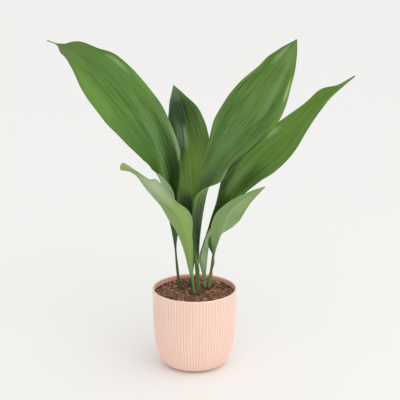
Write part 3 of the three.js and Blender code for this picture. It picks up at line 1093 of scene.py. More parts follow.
# Right large leaf: a yellow-green margin, olive and yellowish tints and dark streaks; painted sheen and
# highlight streaks, a painted shadow line along the lower right margin, and painted shade at the left margin
# and in the wedge at the base.
RIGHT_LARGE_UPPER = (
    Patch((0.170, 0.290, 0.110), 0.45, (-0.86, 0.10), (9.7, 1.0), 1.0, 0.5),
    Patch((0.060, 0.115, 0.030), 0.55, (-0.15, 0.30), (10.0, 0.8), 1.0),
    Patch((0.028, 0.090, 0.010), 0.85, (-0.62, 0.34), (9.9, 1.6), 1.0),
    Patch((0.040, 0.092, 0.017), 0.60, (0.50, 0.38), (10.1, 1.1), 1.1),
    Patch((0.175, 0.290, 0.120), 0.55, (0.22, 0.15), (11.3, 0.9), 1.2, 0.5),
    Patch((0.195, 0.330, 0.060), 0.50, (0.90, 0.14), (11.6, 1.2), 0.6, 0.1),
    Patch((0.320, 0.430, 0.200), 0.75, (0.84, 0.09), (11.7, 0.35), 0.5, 0.4),
    Patch((0.125, 0.172, 0.048), 0.35, (-0.25, 0.32), (11.0, 1.1), 0.9),
    Patch((0.210, 0.330, 0.140), 0.60, (0.30, 0.90), (6.9, 0.7), 0.8, 0.3),
    Patch((0.230, 0.320, 0.110), 0.45, (0.20, 0.70), (13.0, 0.9), 1.0, 0.3),
    Patch((0.270, 0.380, 0.180), 0.55, (-0.60, 0.18), (12.9, 0.8), 0.8, 0.5),
    Patch((0.155, 0.250, 0.110), 0.65, (0.30, 1.2), (8.2, 1.6), 1.3, 0.4),
    Patch((0.045, 0.105, 0.024), 0.75, (-0.82, 0.28), (8.9, 0.9), 0.8),
    Patch((0.240, 0.360, 0.200), 0.85, (0.90, 0.16), (8.2, 0.7), 0.8, 0.4),
    Patch((0.040, 0.085, 0.018), 0.50, (0.62, 0.12), (9.6, 1.2), 0.8),
    Patch((0.020, 0.056, 0.010), 0.85, (0.97, 0.11), (9.7, 0.9), 0.7),
    Patch((0.100, 0.165, 0.072), 0.75, (-0.40, 0.45), (7.7, 0.8), 0.8, 0.3),
    Patch((0.028, 0.055, 0.014), 0.85, (-0.20, 0.8), (5.7, 0.8), 0.4),
)
# Right arching leaf: a greyish tip; a painted highlight and sheen stripe, painted shade over the base and the
# lower half, a painted cast shadow of the right large leaf along the upper margin, and a pale painted
# highlight on the upper face by the stalk, where it shows past the fold.
RIGHT_ARCHING_UPPER = (
    Patch((0.290, 0.400, 0.190), 0.80, (-0.64, 0.18), (11.7, 0.45), 1.0, 0.8),
    Patch((0.080, 0.170, 0.026), 0.70, (0.60, 0.45), (11.0, 1.8), 0.6),
    Patch((0.012, 0.036, 0.006), 0.96, (-0.80, 0.48), (8.9, 1.4), 0.6),
    Patch((0.020, 0.050, 0.012), 0.85, (-0.74, 0.17), (10.3, 1.2), 0.6, 0.0, 0.12),
    Patch((0.310, 0.450, 0.270), 0.90, (0.0, 2.5), (4.2, 1.7), 0.3),
    Patch((0.020, 0.054, 0.008), 0.88, (0.0, 1.3), (7.6, 1.5), 0.8),
    Patch((0.036, 0.090, 0.010), 0.85, (0.50, 0.60), (9.7, 1.2), 0.6),
    Patch((0.160, 0.265, 0.095), 0.70, (-0.05, 0.30), (9.3, 1.1), 1.2, 0.5),
    Patch((0.300, 0.370, 0.270), 0.75, (0.86, 0.17), (14.3, 0.7), 0.4, 0.5),
    Patch((0.150, 0.190, 0.110), 0.75, (0.0, 1.5), (15.7, 0.9), 0.4, 0.5),
)
# Right large leaf's underside: painted shade darkens the folded base by the stalk.
RIGHT_LARGE_UNDER = (
    Patch((0.034, 0.064, 0.022), 1.0, (0.0, 2.2), (4.6, 2.9), 0.3),
    Patch((0.006, 0.018, 0.004), 0.92, (0.15, 0.80), (3.5, 1.9), 0.6),
)
LEFT_LARGE_UNDER = (Patch((0.300, 0.430, 0.245), 1.0, (0.0, 2.2), (5.4, 2.2), 0.6, 0.6),)
RIGHT_ARCHING_UNDER = (Patch((0.330, 0.490, 0.310), 0.90, (0.5, 1.2), (4.6, 1.6), 0.7, 0.6),)
FRONT_LEFT_UNDER = (
    Patch((0.370, 0.440, 0.295), 0.85, (-0.15, 1.0), (9.1, 2.1), 0.6, 0.5),
    Patch((0.240, 0.380, 0.095), 0.60, (0.0, 1.5), (4.6, 2.4), 0.6),
    Patch((0.270, 0.365, 0.088), 0.80, (0.0, 1.6), (13.6, 1.3), 0.3),
    Patch((0.110, 0.185, 0.045), 0.75, (-0.75, 0.50), (11.7, 0.9), 0.3),
    Patch((0.130, 0.240, 0.055), 0.60, (-0.75, 0.45), (3.6, 1.0), 0.5),
)
FRONT_RIGHT_UNDER = (
    Patch((0.350, 0.465, 0.240), 0.45, (-0.05, 0.22), (9.0, 2.6), 1.0, 0.5),
    Patch((0.060, 0.130, 0.032), 0.92, (0.0, 2.5), (3.9, 1.8), 0.5),
    Patch((0.350, 0.460, 0.150), 0.60, (-0.45, 0.40), (9.8, 1.2), 0.6),
)


LEAVES = (
    Leaf(
        name="leaf_left_large",
        dents=(
            (11.45, 1, 0.085, 0.30),
            (13.15, 1, 0.25, 0.55),
            (12.1, 1, -0.05, 0.30),
            (12.5, -1, 0.10, 0.7),
            (11.6, -1, 0.05, 0.5),
            (7.3, -1, 0.07, 0.8),
        ),
        slot=Slot.UPPER,
        neck=3.6,
        waves=(2.4, 0.1),
        seed=1,
        **skins("left_large", 1.0, {"patches": LEFT_LARGE_UPPER}, {"patches": LEFT_LARGE_UNDER}),
        stations=(
            (-30, 14, 116, 0, 3.2, 0, 0, 3.2, 0, 0),
            (-32, 17, 160, 0, 3.2, 0, 0, 3.2, 0, 0),
            (-37, 21, 206, 0, 2.8, 5, 0, 2.8, 5, 0),
            (-41, 27, 256, 0, 2.8, 10, 0, 2.8, 10, 0),
            (-44, 34, 308, 0, 12, 10, 60, 15, 45, 0),
            (-48, 38, 354, 0, 36, 5, 215, 28, 55, 0),
            (-60, 43, 402, 0, 44, 5, 165, 43, 34, 0),
            (-69.5, 47, 428, 0, 36.5, 22, 60, 48, 26, -5),
            (-81, 51, 454, 0, 44, 34, 22, 53, 18, -10),
            (-114, 60, 510, 0, 56, 40, -10, 61, 10, -10),
            (-156, 68, 565, 0, 56, 24, -10, 62, 6, -10),
            (-203, 75, 619, 0, 49, 24, -10, 53.5, 6, -10),
            (-247, 80, 656, 0, 27, 24, 0, 29.5, 10, 0),
            (-272, 82.5, 669, 0, 14.5, 15, 0, 12, 10, 0),
            (-286, 84, 675.5, 0, 2.2, 0, 0, 2.2, 0, 0),
            (-307, 87, 683, 0, 1, 0, 0, 1, 0, 0),
        ),
    ),
    Leaf(
        name="leaf_centre_back",
        slot=Slot.UPPER,
        neck=2.6,
        waves=(2.1, 0.35),
        seed=2,
        **skins(
            "centre_back",
            2.0,
            {"light": (0.165, 0.285, 0.056), "dark": (0.090, 0.180, 0.034), "patches": CENTRE_BACK_UPPER},
            {},
        ),
        stations=(
            (-10, 34, 116, 0, 2.8, 0, 0, 2.8, 0, 0),
            (-9, 36, 160, 0, 2.8, 0, 0, 2.8, 0, 0),
            (-5, 39, 200, 0, 3, 10, 0, 3, 10, 0),
            (-1, 44, 240, 0, 7, 40, 0, 6, 40, 0),
            (-1, 52, 286, 0, 25, 45, 0, 16, 50, 0),
            (-2, 61, 330, 0, 40, 35, 0, 28, 45, 0),
            (-4, 72, 374, 0, 43, 28, 0, 38, 32, 0),
            (-8, 84, 424, 0, 41, 24, -10, 45, 20, 0),
            (-12, 95, 475, 0, 42, 20, -10, 45.5, 18, 0),
            (-20, 105, 524, 0, 39, 18, 0, 36, 20, 0),
            (-33, 111, 561, 0, 22, 14, 0, 14, 16, 0),
            (-45, 115, 586, 0, 0.8, 0, 0, 0.8, 0, 0),
        ),
    ),
    Leaf(
        name="leaf_right_large",
        slot=Slot.UPPER,
        neck=2.6,
        waves=(2.6, 0.6),
        dents=((7.9, 1, -0.07, 0.5), (11.85, -1, 0.04, 0.35)),
        seed=3,
        **skins(
            "right_large",
            3.0,
            {"stalk": (0.105, 0.195, 0.075), "patches": RIGHT_LARGE_UPPER},
            {"stalk": (0.13, 0.25, 0.085), "patches": RIGHT_LARGE_UNDER},
        ),
        stations=(
            (6, 7, 116, 0, 3.2, 0, 0, 3.2, 0, 0),
            (7, 5, 158, 0, 3.2, 0, 0, 3.2, 0, 0),
            (6, 3, 200, 0, 4.4, 10, 0, 5.4, 30, 0),
            (8, 0, 238, 0, 8.7, 8, 0, 10, 125, 0),
            (10.5, -4, 276, 0, 12.7, 5, 0, 14, 155, 0),
            (14.5, -5, 314, 0, 17.5, 4, 0, 23, 155, 0),
            (20, -3, 348, 0, 24.5, 6, 0, 26.5, 148, 0),
            (27, 2, 380, 0, 29.5, 20, 0, 41, 112, 0),
            (38, 8, 410, 0, 40, 38, 0, 38, 64, 0),
            (57, 15, 448, 0, 45, 30, 0, 36, 55, 0),
            (91, 23, 495, 0, 61, 6, -10, 45.5, 34, -10),
            (135, 34, 553, 0, 65, 2, -10, 50, 22, -10),
            (177, 46, 620, 0, 45.5, 4, -5, 30, 16, -5),
            (198, 52, 659, 0, 25.5, 6, 0, 14, 10, 0),
            (210.5, 56, 688, 0, 0.8, 0, 0, 0.8, 0, 0),
        ),
    ),
    Leaf(
        name="leaf_right_arching",
        slot=Slot.UPPER,
        neck=3.3,
        waves=(3.2, 0.2),
        seed=4,
        dents=((13.3, -1, 0.14, 0.6), (14.8, -1, 0.22, 0.5), (12.4, 1, 0.09, 0.6)),
        **skins(
            "right_arching",
            4.0,
            {
                "light": (0.138, 0.272, 0.038),
                "dark": (0.080, 0.180, 0.022),
                "stalk": (0.19, 0.29, 0.165),
                "patches": RIGHT_ARCHING_UPPER,
            },
            {"stalk": (0.20, 0.31, 0.175), "patches": RIGHT_ARCHING_UNDER},
        ),
        stations=(
            (22.5, 22, 116, 0, 2.4, 0, 0, 2.4, 0, 0),
            (23, 24, 158, 0, 2.4, 0, 0, 2.4, 0, 0),
            (22.8, 26, 174, 0, 2.4, 0, 0, 2.4, 0, 0),
            (22.3, 29.5, 193, 0, 7, 15, 0, 3, 150, 0),
            (26, 34, 220, 0, 17.5, 15, 0, 15, 150, 0),
            (30, 38, 250, 0, 15, 20, 0, 16, 138, 0),
            (36, 41, 284, 0, 12, 40, 0, 18, 115, 0),
            (45, 43, 315, 0, 13.5, 45, 0, 25, 80, 0),
            (59, 44, 343, 0, 19, 40, 0, 31, 55, 0),
            (82, 45, 379, 0, 34, 25, 0, 31, 38, 0),
            (111, 44, 416, 0, 44, 15, 0, 38, 30, 0),
            (145, 42, 452, 0, 46, 12, 0, 45, 22, -10),
            (188, 39, 494, 0, 33, 16, 0, 41, 22, -10),
            (231, 33, 541, 0, 22, 20, 0, 24.5, 25, 0),
            (268, 25, 575, 0, 20, 15, 0, 12, 25, 0),
            (299, 19, 597, 0, 6.5, 0, 0, 4, 25, 0),
            (326, 15, 618, 0, 1.2, 0, 0, 1.2, 0, 0),
        ),
    ),
    Leaf(
        name="leaf_front_left",
        slot=Slot.UNDER,
        neck=2.4,
        waves=(2.2, 0.8),
        seed=5,
        blunt=True,
        **skins(
            "front_left",
            5.0,
            {},
            {"stalk": (0.13, 0.26, 0.07), "tip": (0.29, 0.39, 0.09), "patches": FRONT_LEFT_UNDER},
        ),
        stations=(
            (2, -6, 116, 180, 2.7, 0, 0, 2.7, 0, 0),
            (0, -8, 158, 180, 2.7, 0, 0, 2.7, 0, 0),
            (-4, -11, 188, 180, 2.8, 10, 0, 2.6, 10, 0),
            (-8, -15, 220, 180, 5.5, 20, 0, 6, 20, 0),
            (-11, -21, 252, 180, 10, 5, 40, 10.5, 5, 40),
            (-16, -29, 288, 180, 15, 8, 45, 18, 8, 45),
            (-26, -41, 326, 180, 29, 8, 58, 30, 8, 58),
            (-46, -55, 362, 180, 20, 20, 70, 34, 15, 64),
            (-69, -70, 391, 180, 25, 22, 70, 30, 18, 68),
            (-84, -79, 406, 180, 25, 20, 60, 24, 26, 66),
            (-92, -84, 415, 180, 16, 25, 68, 21, 30, 66),
            (-108, -96, 434, 180, 9, 30, 50, 9.5, 35, 60),
            (-118, -103, 446, 190, 5, 40, 0, 5, 40, 0),
            (-129, -108, 454, 195, 6, 20, 0, 6.5, 20, 0),
            (-143, -111, 459, 195, 8.5, 10, 0, 9, 10, 0),
        ),
    ),
    Leaf(
        name="leaf_front_right",
        slot=Slot.UNDER,
        neck=4.0,
        waves=(1.8, 0.4),
        seed=6,
        **skins(
            "front_right",
            6.0,
            # The upper face is darker than the common one: painted shade on the folded lobe by the stalk.
            {"light": (0.105, 0.205, 0.060), "dark": (0.045, 0.105, 0.024)},
            {
                "light": (0.285, 0.425, 0.165),
                "dark": (0.205, 0.335, 0.120),
                "stalk": (0.04, 0.115, 0.025),
                "patches": FRONT_RIGHT_UNDER,
            },
        ),
        stations=(
            (30, 31, 116, 180, 3, 0, 0, 3, 0, 0),
            (31, 31, 158, 180, 3, 0, 0, 3, 0, 0),
            (35, 28, 193, 180, 3, 0, 0, 3, 0, 0),
            (37, 26.2, 206, 180, 3, 0, 0, 3, 0, 0),
            (39.5, 23.6, 224, 180, 8, 80, 0, 3.4, 10, 0),
            (44, 18, 246, 180, 20, 145, 0, 6, 10, 0),
            (50, 9, 268, 180, 25, 134, 0, 16, 5, 0),
            (56.5, -3, 292, 180, 25, 46, 0, 24, 10, 0),
            (64, -18, 323, 180, 30, 18, 0, 24.5, 22, 0),
            (76, -33, 350, 180, 27.5, 12, 0, 17, 32, 0),
            (94, -48, 371, 180, 20.5, 20, 0, 12.5, 40, 0),
            (117, -62, 390, 180, 10, 20, 0, 8, 40, 0),
            (141, -76, 409, 180, 0.8, 0, 0, 0.8, 0, 0),
        ),
    ),
)


@dataclass(frozen=True)
class ScaleLeaf:
    """The short sheath round the foot of one stalk, open at the back, in millimetres.

    Wrap is how many degrees it goes round at its foot. It narrows towards its tip and flares a little there.
    """

    stalk: Leaf
    bottom: float = 134.0
    top: float = 198.0
    clearance: float = 0.35
    thickness: float = 0.8
    edge_share: float = 0.45
    wrap: float = 290.0
    wrap_at_tip: float = 0.985
    ridge: float = 0.12
    ridge_rate: float = 9.0
    flare: float = 0.5
    columns: int = 40
    rows: int = 44
    finish: SheathFinish = SheathFinish()

    def build(self) -> bpy.types.Object:
        """Build the sheath.

        Returns:
            The finished object.
        """
        piece = Piece("scale_leaf_papery")
        share_layer, along_layer = (piece.layer(name) for name in SHEATH_LAYERS)
        stations, last = self.stalk.stations, self.stalk.last
        points = piece.sheet(self.columns, self.rows)
        heights = [lerp(self.bottom, self.top, row / self.rows) for row in range(self.rows + 1)]
        places = [place_where(lambda at: along_rows(stations, at)[2], height, last) for height in heights]
        cuts = [self.stalk.cut(place) for place in places]
        for vert, column, row, level in points:
            cut = cuts[row]
            climb = row / self.rows
            share = column / self.columns - 0.5
            angle = share * math.radians(self.wrap) * math.sqrt(1 - (climb * self.wrap_at_tip) ** 2)
            out = -cut.face * math.cos(angle) - cut.across * math.sin(angle)
            thin = self.thickness * (self.edge_share if column in (0, self.columns) else 1.0)
            outer = thin + self.ridge * math.sin(angle * self.ridge_rate)
            radius = cut.row[4] + self.clearance + self.flare * climb**3 + (outer if level > 0 else 0.0)
            vert.co = (cut.spine + out * radius) * MM
            vert[share_layer] = share
            vert[along_layer] = climb * (self.top - self.bottom) * MM
        finish = self.finish.material()
        return piece.finished(Slot.SHEATH, [finish, finish], "scale_leaf")


@dataclass(frozen=True)
class Pot:
    """Round pot with upright ribs, a thin smooth lip and a flat foot, in millimetres.

    The outline and the foot hold rows of radius and height. A level is the height of a ring of points. The
    start of the lip holds rows of how far in from the rim and how far up from the lip's bottom a ring lies.
    The inner face lies within its band of the inner radius, and the outer face past the outer band.
    """

    height: float = 170.0
    rim_radius: float = 90.0
    wall: float = 3.4
    floor: float = 5.0
    lip_height: float = 3.0
    lip_round: float = 1.4
    rib_count: int = 82
    rib_depth: float = 1.2
    inner_rib_depth: float = 0.3
    steps_per_rib: int = 8
    rib_bottom: float = 4.0
    rib_fade: float = 15.0
    groove_power: float = 1.4
    outline: tuple[Row, ...] = ((52, 0), (69, 9), (78.5, 27), (84, 48), (87.4, 78), (89, 120), (89.7, 167))

    foot: tuple[Pair, ...] = ((0.0, 0.0), (20.0, 0.0), (40.0, 0.0), (51.0, 0.0), (52.2, 0.25))
    low_levels: Row = (1.0, 2.2, 3.6, 5.0, 6.6, 8.5, 11, 14, 18, 23, 29, 36, 44, 53, 64)
    high_levels: Row = (76, 90, 104, 118, 132, 146, 155)
    levels_below_lip: Row = (7.0, 4.0, 2.6, 1.6, 1.0, 0.6, 0.3)
    lip_start: tuple[Pair, ...] = ((0.5, -0.1), (0.12, 0.25), (0.0, 0.8))
    inner_levels: Row = (166.0, 160.0, 150.0, 120.0, 80.0, 48.0, 22.0)
    floor_bend: float = 7.0
    corner_steps: int = 6
    lip_gap: float = 0.05
    lip_fade: Pair = (0.2, 1.8)
    outer_band: float = 1.0
    inner_band: float = 0.5
    inner_rib_bottom: float = 7.5
    inner_rib_top: float = 1.5
    inner_rib_fade: float = 3.0
    finish: PotFinish = PotFinish()

    @property
    def lip_bottom(self) -> float:
        """Height at which the lip starts."""
        return self.height - self.lip_height

    @cache
    def body_radius(self, z: float) -> float:
        """Find the outer radius at a height.

        Args:
            z: The height.

        Returns:
            The radius.
        """
        last = len(self.outline) - 1
        place = place_where(lambda at: along_rows(self.outline, at)[1], z, last)
        return along_rows(self.outline, place)[0]

    def inner_radius(self, z: float) -> float:
        """Return the inner radius at a height."""
        return self.body_radius(z) - self.wall

    def profile(self) -> list[Pair]:
        """Draw the wall's section, from the middle of the base round the outside to the middle inside.

        Returns:
            The radius and the height of each point.
        """
        near_lip = tuple(self.lip_bottom - below for below in self.levels_below_lip)
        body = [(self.body_radius(z), z) for z in self.low_levels + self.high_levels + near_lip]
        lip = [(self.rim_radius - inset, self.lip_bottom + rise) for inset, rise in self.lip_start]
        lip += self.quarter(self.rim_radius - self.lip_round, 0)
        lip += self.quarter(self.inner_radius(self.lip_bottom) + self.lip_round, 90)
        inner = [(self.inner_radius(z), z) for z in (*self.inner_levels, self.floor + self.floor_bend)]
        bottom = [(self.outline[0][0] - self.wall, self.floor), (0.0, self.floor)]
        return [*self.foot, *body, *lip, *inner, *bottom]

    def quarter(self, radius: float, start: float) -> list[Pair]:
        """Draw a quarter circle of the lip's rounded edge.

        Args:
            radius: The radius of the pot at the quarter's centre.
            start: Where the quarter starts, in degrees.

        Returns:
            The radius and the height of each point.
        """
        middle = self.height - self.lip_round
        turns = [math.radians(start + step * 90 / self.corner_steps) for step in range(self.corner_steps + 1)]
        size = self.lip_round
        return [(radius + size * math.cos(turn), middle + size * math.sin(turn)) for turn in turns]

    def build(self) -> bpy.types.Object:
        """Build the pot.

        Returns:
            The finished object.
        """
        piece = Piece("pot_ribbed")
        mesh = piece.mesh
        layers = piece.layer("groove"), piece.layer("inner")
        line = piece.line([(0, -radius, z) for radius, z in self.profile()])
        pitch = 2 * math.pi / self.rib_count
        piece.spin(line, pitch, self.steps_per_rib)
        for vert in mesh.verts:
            self.flute(vert, *layers)
        others = self.rib_count - 1
        rib = mesh.verts[:] + mesh.edges[:] + mesh.faces[:]
        piece.spin(rib, pitch * others, others, use_duplicate=True)
        piece.close()
        return piece.finished(Slot.POT, [self.finish.material()], "pot")

    def flute(
        self,
        vert: bmesh.types.BMVert,
        groove_layer: bmesh.types.BMLayerItem,
        inner_layer: bmesh.types.BMLayerItem,
    ) -> None:
        """Push a point of the wall in where it lies between two ribs, and note the points inside the pot.

        Args:
            vert: The point.
            groove_layer: Where the mesh keeps how deep in a groove a point is, from 0 to 1.
            inner_layer: Where it keeps 1 for a point inside the pot.
        """
        z = round(vert.co.z / MM, 3)
        radius = math.hypot(vert.co.x, vert.co.y) / MM
        past, lip = radius - self.inner_radius(z), self.lip_bottom
        vert[inner_layer] = float(z > self.floor and past < self.inner_band)
        turn = math.atan2(vert.co.x, -vert.co.y)
        between = (0.5 - 0.5 * math.cos(self.rib_count * turn)) ** self.groove_power
        if self.rib_bottom < z < lip - self.lip_gap and past > self.outer_band:
            fade = smoothstep(z, self.rib_bottom, self.rib_bottom + self.rib_fade)
            fade *= smoothstep(lip - z, *self.lip_fade)
            depth = self.rib_depth * between * fade
        elif self.floor + self.inner_rib_bottom < z < lip + self.inner_rib_top and past < self.inner_band:
            fade = smoothstep(lip + self.inner_rib_top - z, 0.0, self.inner_rib_fade)
            depth = -self.inner_rib_depth * between * fade
        else:
            return
        scale = 1 - depth / radius
        vert.co.x *= scale
        vert.co.y *= scale
        vert[groove_layer] = between * fade


@dataclass(frozen=True)
class Lumps:
    """What a lump of mix is drawn from, in millimetres, radians or shares.

    A pair is the least and the most.
    """

    count: int = 2300
    from_wall: float = 2.6
    small_share: float = 0.7
    small: Pair = (0.8, 1.5)
    large: Pair = (1.5, 2.8)
    chip_size: float = 1.4
    chip_length: Pair = (1.0, 2.1)
    lump_length: Pair = (1.0, 1.5)
    lift: Pair = (-0.1, 0.35)
    tilt: Pair = (-0.6, 0.6)
    flatness: Pair = (0.45, 0.8)
    tone: Pair = (0.12, 1.0)
    roughness: Pair = (0.7, 1.15)
    finish: SoilFinish = SoilFinish(
        "peat_lumps",
        (
            (0.10, (0.080, 0.038, 0.027)),
            (0.40, (0.305, 0.160, 0.106)),
            (0.70, (0.540, 0.320, 0.225)),
            (0.95, (0.780, 0.560, 0.420)),
        ),
    )


@dataclass(frozen=True)
class Fibres:
    """What a coconut fibre is drawn from, in millimetres, radians or shares.

    A pair is the least and the most.
    """

    count: int = 420
    from_wall: float = 10.0
    length: Pair = (5.0, 15.0)
    bend: Pair = (-1.4, 1.4)
    radius: Pair = (0.20, 0.42)
    arch: Pair = (0.3, 1.8)
    tone: Pair = (0.3, 1.0)
    sides: int = 5
    joints: int = 6
    taper: float = 1.2
    lift: float = 1.0
    finish: SoilFinish = SoilFinish(
        "coconut_fibre",
        (
            (0.10, (0.110, 0.052, 0.030)),
            (0.50, (0.300, 0.170, 0.095)),
            (0.90, (0.520, 0.360, 0.220)),
        ),
    )


@dataclass
class Soil:
    """Potting mix: a rough bed with lumps, chips and fibres lying on it, in millimetres.

    The mound is x, y, height and spread. Crumbs are two waves across each other, each with its rate, its bend
    and the bend's rate. Grit is rows of a noise's scale, start and height.
    """

    pot: Pot
    leaves: Sequence[Leaf]
    level: float = 158.5
    clearance: float = 0.35
    mound: Row = (6.0, 60.0, 6.5, 42.0)
    crumbs: tuple[Row, Row] = ((0.31, 1.7, 0.17), (0.37, 1.3, 0.21))
    crumb_height: float = 0.91
    grit: tuple[Row, ...] = ((0.35, 3.0, 1.3), (0.9, 8.0, 0.8))
    foot_radius: float = 49.9
    side_levels: Row = (14.0, 22.0, 48.0, 90.0, 130.0, 150.0)
    rings: int = 58
    spokes: int = 200
    bed_tone: float = 0.18
    stalk_place: float = 0.95
    stalk_gap: float = 0.3
    # Painted shade on the mix: its tone drops to these shares by the stalks and by the wall, and comes back
    # over these millimetres.
    shade_by_stalks: float = 0.28
    shade_reach_from_stalks: Pair = (4.0, 20.0)
    shade_by_wall: float = 0.5
    shade_reach_from_wall: Pair = (2.0, 9.0)
    finish: SoilFinish = SoilFinish("peat_bed", ((0.1, (0.050, 0.026, 0.017)), (0.5, (0.185, 0.098, 0.062))))
    lumps: Lumps = Lumps()
    fibres: Fibres = Fibres()
    draws: random.Random = field(default_factory=lambda: random.Random(7))

    def height(self, x: float, y: float) -> float:
        """Find the height of the bed's surface.

        Args:
            x: Where, across.
            y: Where, away from the viewer.

        Returns:
            The height.
        """
        mound_x, mound_y, mound_height, spread = self.mound
        away = math.hypot(x - mound_x, y - mound_y) / spread
        (rate, bend, bend_rate), (cross_rate, cross_bend, cross_bend_rate) = self.crumbs
        crumbs = math.sin(x * rate + bend * math.sin(y * bend_rate))
        crumbs *= math.cos(y * cross_rate - cross_bend * math.sin(x * cross_bend_rate))
        grit = sum(
            noise.noise(Vector((x * scale, y * scale, start))) * size for scale, start, size in self.grit
        )
        return self.level + mound_height * math.exp(-away * away) + self.crumb_height * crumbs + grit

    def inner_edge(self) -> float:
        """Return the pot's inner radius where the bed's surface meets it."""
        return self.pot.inner_radius(self.level)

    def shade(self, x: float, y: float) -> float:
        """Find how much of its tone the mix keeps, darkened by painted shade near the stalks and near the
        pot's wall.

        Args:
            x: Where, across.
            y: Where, away from the viewer.

        Returns:
            The share of the tone.
        """
        away = min(math.hypot(x - leaf.stations[1][0], y - leaf.stations[1][1]) for leaf in self.leaves)
        from_wall = self.inner_edge() - math.hypot(x, y)
        by_stalks = lerp(self.shade_by_stalks, 1.0, smoothstep(away, *self.shade_reach_from_stalks))
        return by_stalks * lerp(self.shade_by_wall, 1.0, smoothstep(from_wall, *self.shade_reach_from_wall))

    def spots(self, count: int, from_wall: float) -> list[Pair]:
        """Return random places on the bed that lie clear of the stalks.

        Args:
            count: How many places to find.
            from_wall: How far they stay from the wall.

        Returns:
            Their x and y.
        """
        stalks = [(along_rows(leaf.stations, self.stalk_place), leaf.stations[0][4]) for leaf in self.leaves]
        edge = self.inner_edge() - from_wall
        found: list[Pair] = []
        while len(found) < count:
            radius = edge * math.sqrt(self.draws.random())
            turn = self.draws.uniform(0, 2 * math.pi)
            x, y = radius * math.cos(turn), radius * math.sin(turn)
            if all(math.hypot(x - row[0], y - row[1]) > width + self.stalk_gap for row, width in stalks):
                found.append((x, y))
        return found

    def build_bed(self) -> bpy.types.Object:
        """Build the bed that fills the pot.

        Returns:
            The finished object.
        """
        piece = Piece("soil_bed")
        mesh = piece.mesh
        bottom = self.pot.floor + self.clearance
        side = [(self.pot.inner_radius(z) - self.clearance, 0, z) for z in self.side_levels]
        edge = self.inner_edge() - self.clearance
        top = [(edge * ring / self.rings, 0, self.level) for ring in range(self.rings, -1, -1)]
        line = piece.line([(0.0, 0, bottom), (self.foot_radius, 0, bottom), *side, *top])
        piece.spin(line, 2 * math.pi, self.spokes, use_merge=True)
        piece.close()
        tone = piece.layer("tone")
        for vert in mesh.verts:
            x, y = vert.co.x / MM, vert.co.y / MM
            if vert.co.z / MM > self.level - 1:
                vert.co.z = self.height(x, y) * MM
            vert[tone] = self.bed_tone * self.shade(x, y)
        return piece.finished(Slot.SOIL, [self.finish.material()], "soil")

    def build_lumps(self) -> bpy.types.Object:
        """Build the lumps and bark chips that lie on the bed.

        Returns:
            The finished object.
        """
        lumps, draw = self.lumps, self.draws.uniform
        piece = Piece("soil_lumps")
        pattern = Piece("lump")
        bmesh.ops.create_icosphere(pattern.mesh, subdivisions=1, radius=1.0)
        tone = piece.layer("tone")
        copies = piece.stamp(pattern, lumps.count)
        for verts, (x, y) in zip(copies, self.spots(lumps.count, lumps.from_wall)):
            size = draw(*lumps.small) if self.draws.random() < lumps.small_share else draw(*lumps.large)
            length = size * draw(*(lumps.chip_length if size > lumps.chip_size else lumps.lump_length))
            centre = Vector((x, y, self.height(x, y) + size * draw(*lumps.lift)))
            turn = Matrix.Rotation(draw(0, 2 * math.pi), 4, "Z")
            tilt = Matrix.Rotation(draw(*lumps.tilt), 4, "X")
            shape = Matrix.Diagonal((length, size, size * draw(*lumps.flatness), 1.0))
            place = Matrix.Translation(centre) @ turn @ tilt @ shape
            shade = draw(*lumps.tone) * self.shade(x, y)
            for vert in verts:
                vert.co = place @ (vert.co * draw(*lumps.roughness)) * MM
                vert[tone] = shade
        return piece.finished(Slot.SOIL, [lumps.finish.material()])

    def build_fibres(self) -> bpy.types.Object:
        """Build the coconut fibres that lie on the bed.

        Returns:
            The finished object.
        """
        fibres, draw = self.fibres, self.draws.uniform
        piece = Piece("soil_fibres")
        pattern = Piece("strand")
        rod = {"segments": fibres.sides, "radius1": 1.0, "radius2": 1.0, "depth": 1.0}
        bmesh.ops.create_cone(pattern.mesh, cap_ends=True, **rod)
        sides = [edge for edge in pattern.mesh.edges if abs(edge.verts[0].co.z - edge.verts[1].co.z) > 0.5]
        bmesh.ops.subdivide_edges(pattern.mesh, edges=sides, cuts=fibres.joints, use_grid_fill=True)
        tone = piece.layer("tone")
        copies = piece.stamp(pattern, fibres.count)
        for verts, (x, y) in zip(copies, self.spots(fibres.count, fibres.from_wall)):
            length = draw(*fibres.length)
            turn = draw(0, 2 * math.pi)
            bend = draw(*fibres.bend)
            radius = draw(*fibres.radius)
            arch = draw(*fibres.arch)
            shade = draw(*fibres.tone) * self.shade(x, y)
            for vert in verts:
                share = vert.co.z
                heading = turn + bend * share
                line_x = x + math.cos(heading) * length * share
                line_y = y + math.sin(heading) * length * share
                taper = radius * (1 - fibres.taper * share * share)
                lift = fibres.lift + arch * (1 - 4 * share * share)
                side = Vector((-math.sin(heading), math.cos(heading), 0))
                base = Vector((line_x, line_y, self.height(line_x, line_y) + lift))
                vert.co = (base + side * vert.co.x * taper + Vector((0, 0, vert.co.y * taper))) * MM
                vert[tone] = shade
        return piece.finished(Slot.SOIL, [fibres.finish.material()])

    def build(self) -> None:
        """Build all that lies in the pot."""
        self.build_bed()
        self.build_lumps()
        self.build_fibres()


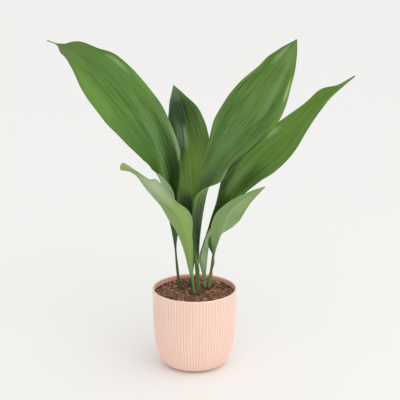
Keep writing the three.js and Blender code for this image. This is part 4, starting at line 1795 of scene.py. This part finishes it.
@dataclass(frozen=True)
class Studio:
    """Plain pale floor, soft light, and the camera where the photograph was taken from, in metres.

    Even light comes from all round, window light from one side and horizon light from near the horizon. The
    key light hangs above and aims at the middle of the plant.
    """

    lens: float = 85.0
    sensor: float = 36.0
    camera_place: Row = (0.0117, -1.9013, 0.8525)
    camera_dip: float = 14.46
    floor_size: float = 60.0
    surround: Colour = (1.0, 0.997, 0.985)
    even_light: float = 0.69
    window_light: float = 0.50
    window: Row = (0.55, -0.45, 0.70)
    horizon_light: float = 0.20
    horizon_height: float = 0.5
    key_place: Row = (1.3, -1.6, 2.0)
    key_aim: Row = (0.0, 0.0, 0.35)
    key_size: float = 1.6
    key_power: float = 6.0
    key_colour: Colour = (1.0, 0.98, 0.95)
    floor_finish: FloorFinish = FloorFinish()

    def camera(self) -> None:
        """Place the camera."""
        data = bpy.data.cameras.new("camera")
        data.lens = self.lens
        data.sensor_width = self.sensor
        made = linked("camera", data)
        made.location = self.camera_place
        made.rotation_euler = (math.radians(90 - self.camera_dip), 0, 0)
        bpy.context.scene.camera = made

    def floor(self) -> None:
        """Lay the floor."""
        mesh = bmesh.new()
        bmesh.ops.create_grid(mesh, x_segments=1, y_segments=1, size=self.floor_size / 2)
        data = bpy.data.meshes.new("floor")
        mesh.to_mesh(data)
        mesh.free()
        data.materials.append(self.floor_finish.material())
        linked("floor", data)

    def key(self) -> None:
        """Hang the square soft light."""
        data = bpy.data.lights.new("key", "AREA")
        data.shape = "SQUARE"
        data.size = self.key_size
        data.energy = self.key_power
        data.color = self.key_colour
        made = linked("key", data)
        made.location = self.key_place
        aim = Vector(self.key_aim) - Vector(self.key_place)
        made.rotation_euler = aim.to_track_quat("-Z", "Y").to_euler()

    def sky(self) -> None:
        """Light everything from all round, and more from near the horizon and from where the window is."""
        world = bpy.data.worlds.new("surround")
        nodes = Nodes(world)
        towards = nodes.node("ShaderNodeTexCoord", None, None, "Generated")
        window = {0: towards, 1: Vector(self.window).normalized()}
        facing = nodes.node("ShaderNodeVectorMath", {"operation": "DOT_PRODUCT"}, window, "Value")
        up = nodes.node("ShaderNodeSeparateXYZ", None, {0: towards}, "Z")
        strength = facing.rise(0.0, 1.0) * self.window_light + self.even_light
        strength = strength + (1.0 - up.rise(0.0, self.horizon_height)) * self.horizon_light
        inputs = {"Color": self.surround, "Strength": strength}
        nodes.show(nodes.node("ShaderNodeBackground", None, inputs), "ShaderNodeOutputWorld")
        bpy.context.scene.world = world

    def build(self) -> None:
        """Set up everything round the object."""
        self.camera()
        self.floor()
        self.key()
        self.sky()
        bpy.context.scene.view_settings.view_transform = "Standard"


def main() -> None:
    """Build the plant round its frame."""
    logging.basicConfig(level=logging.INFO, format="%(relativeCreated)d ms %(message)s")
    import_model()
    Studio().build()
    pot = Pot()
    pot.build()
    Soil(pot, LEAVES).build()
    for leaf in LEAVES:
        leaf.build()
    ScaleLeaf(LEAVES[-1]).build()


if __name__ == "__main__":
    main()
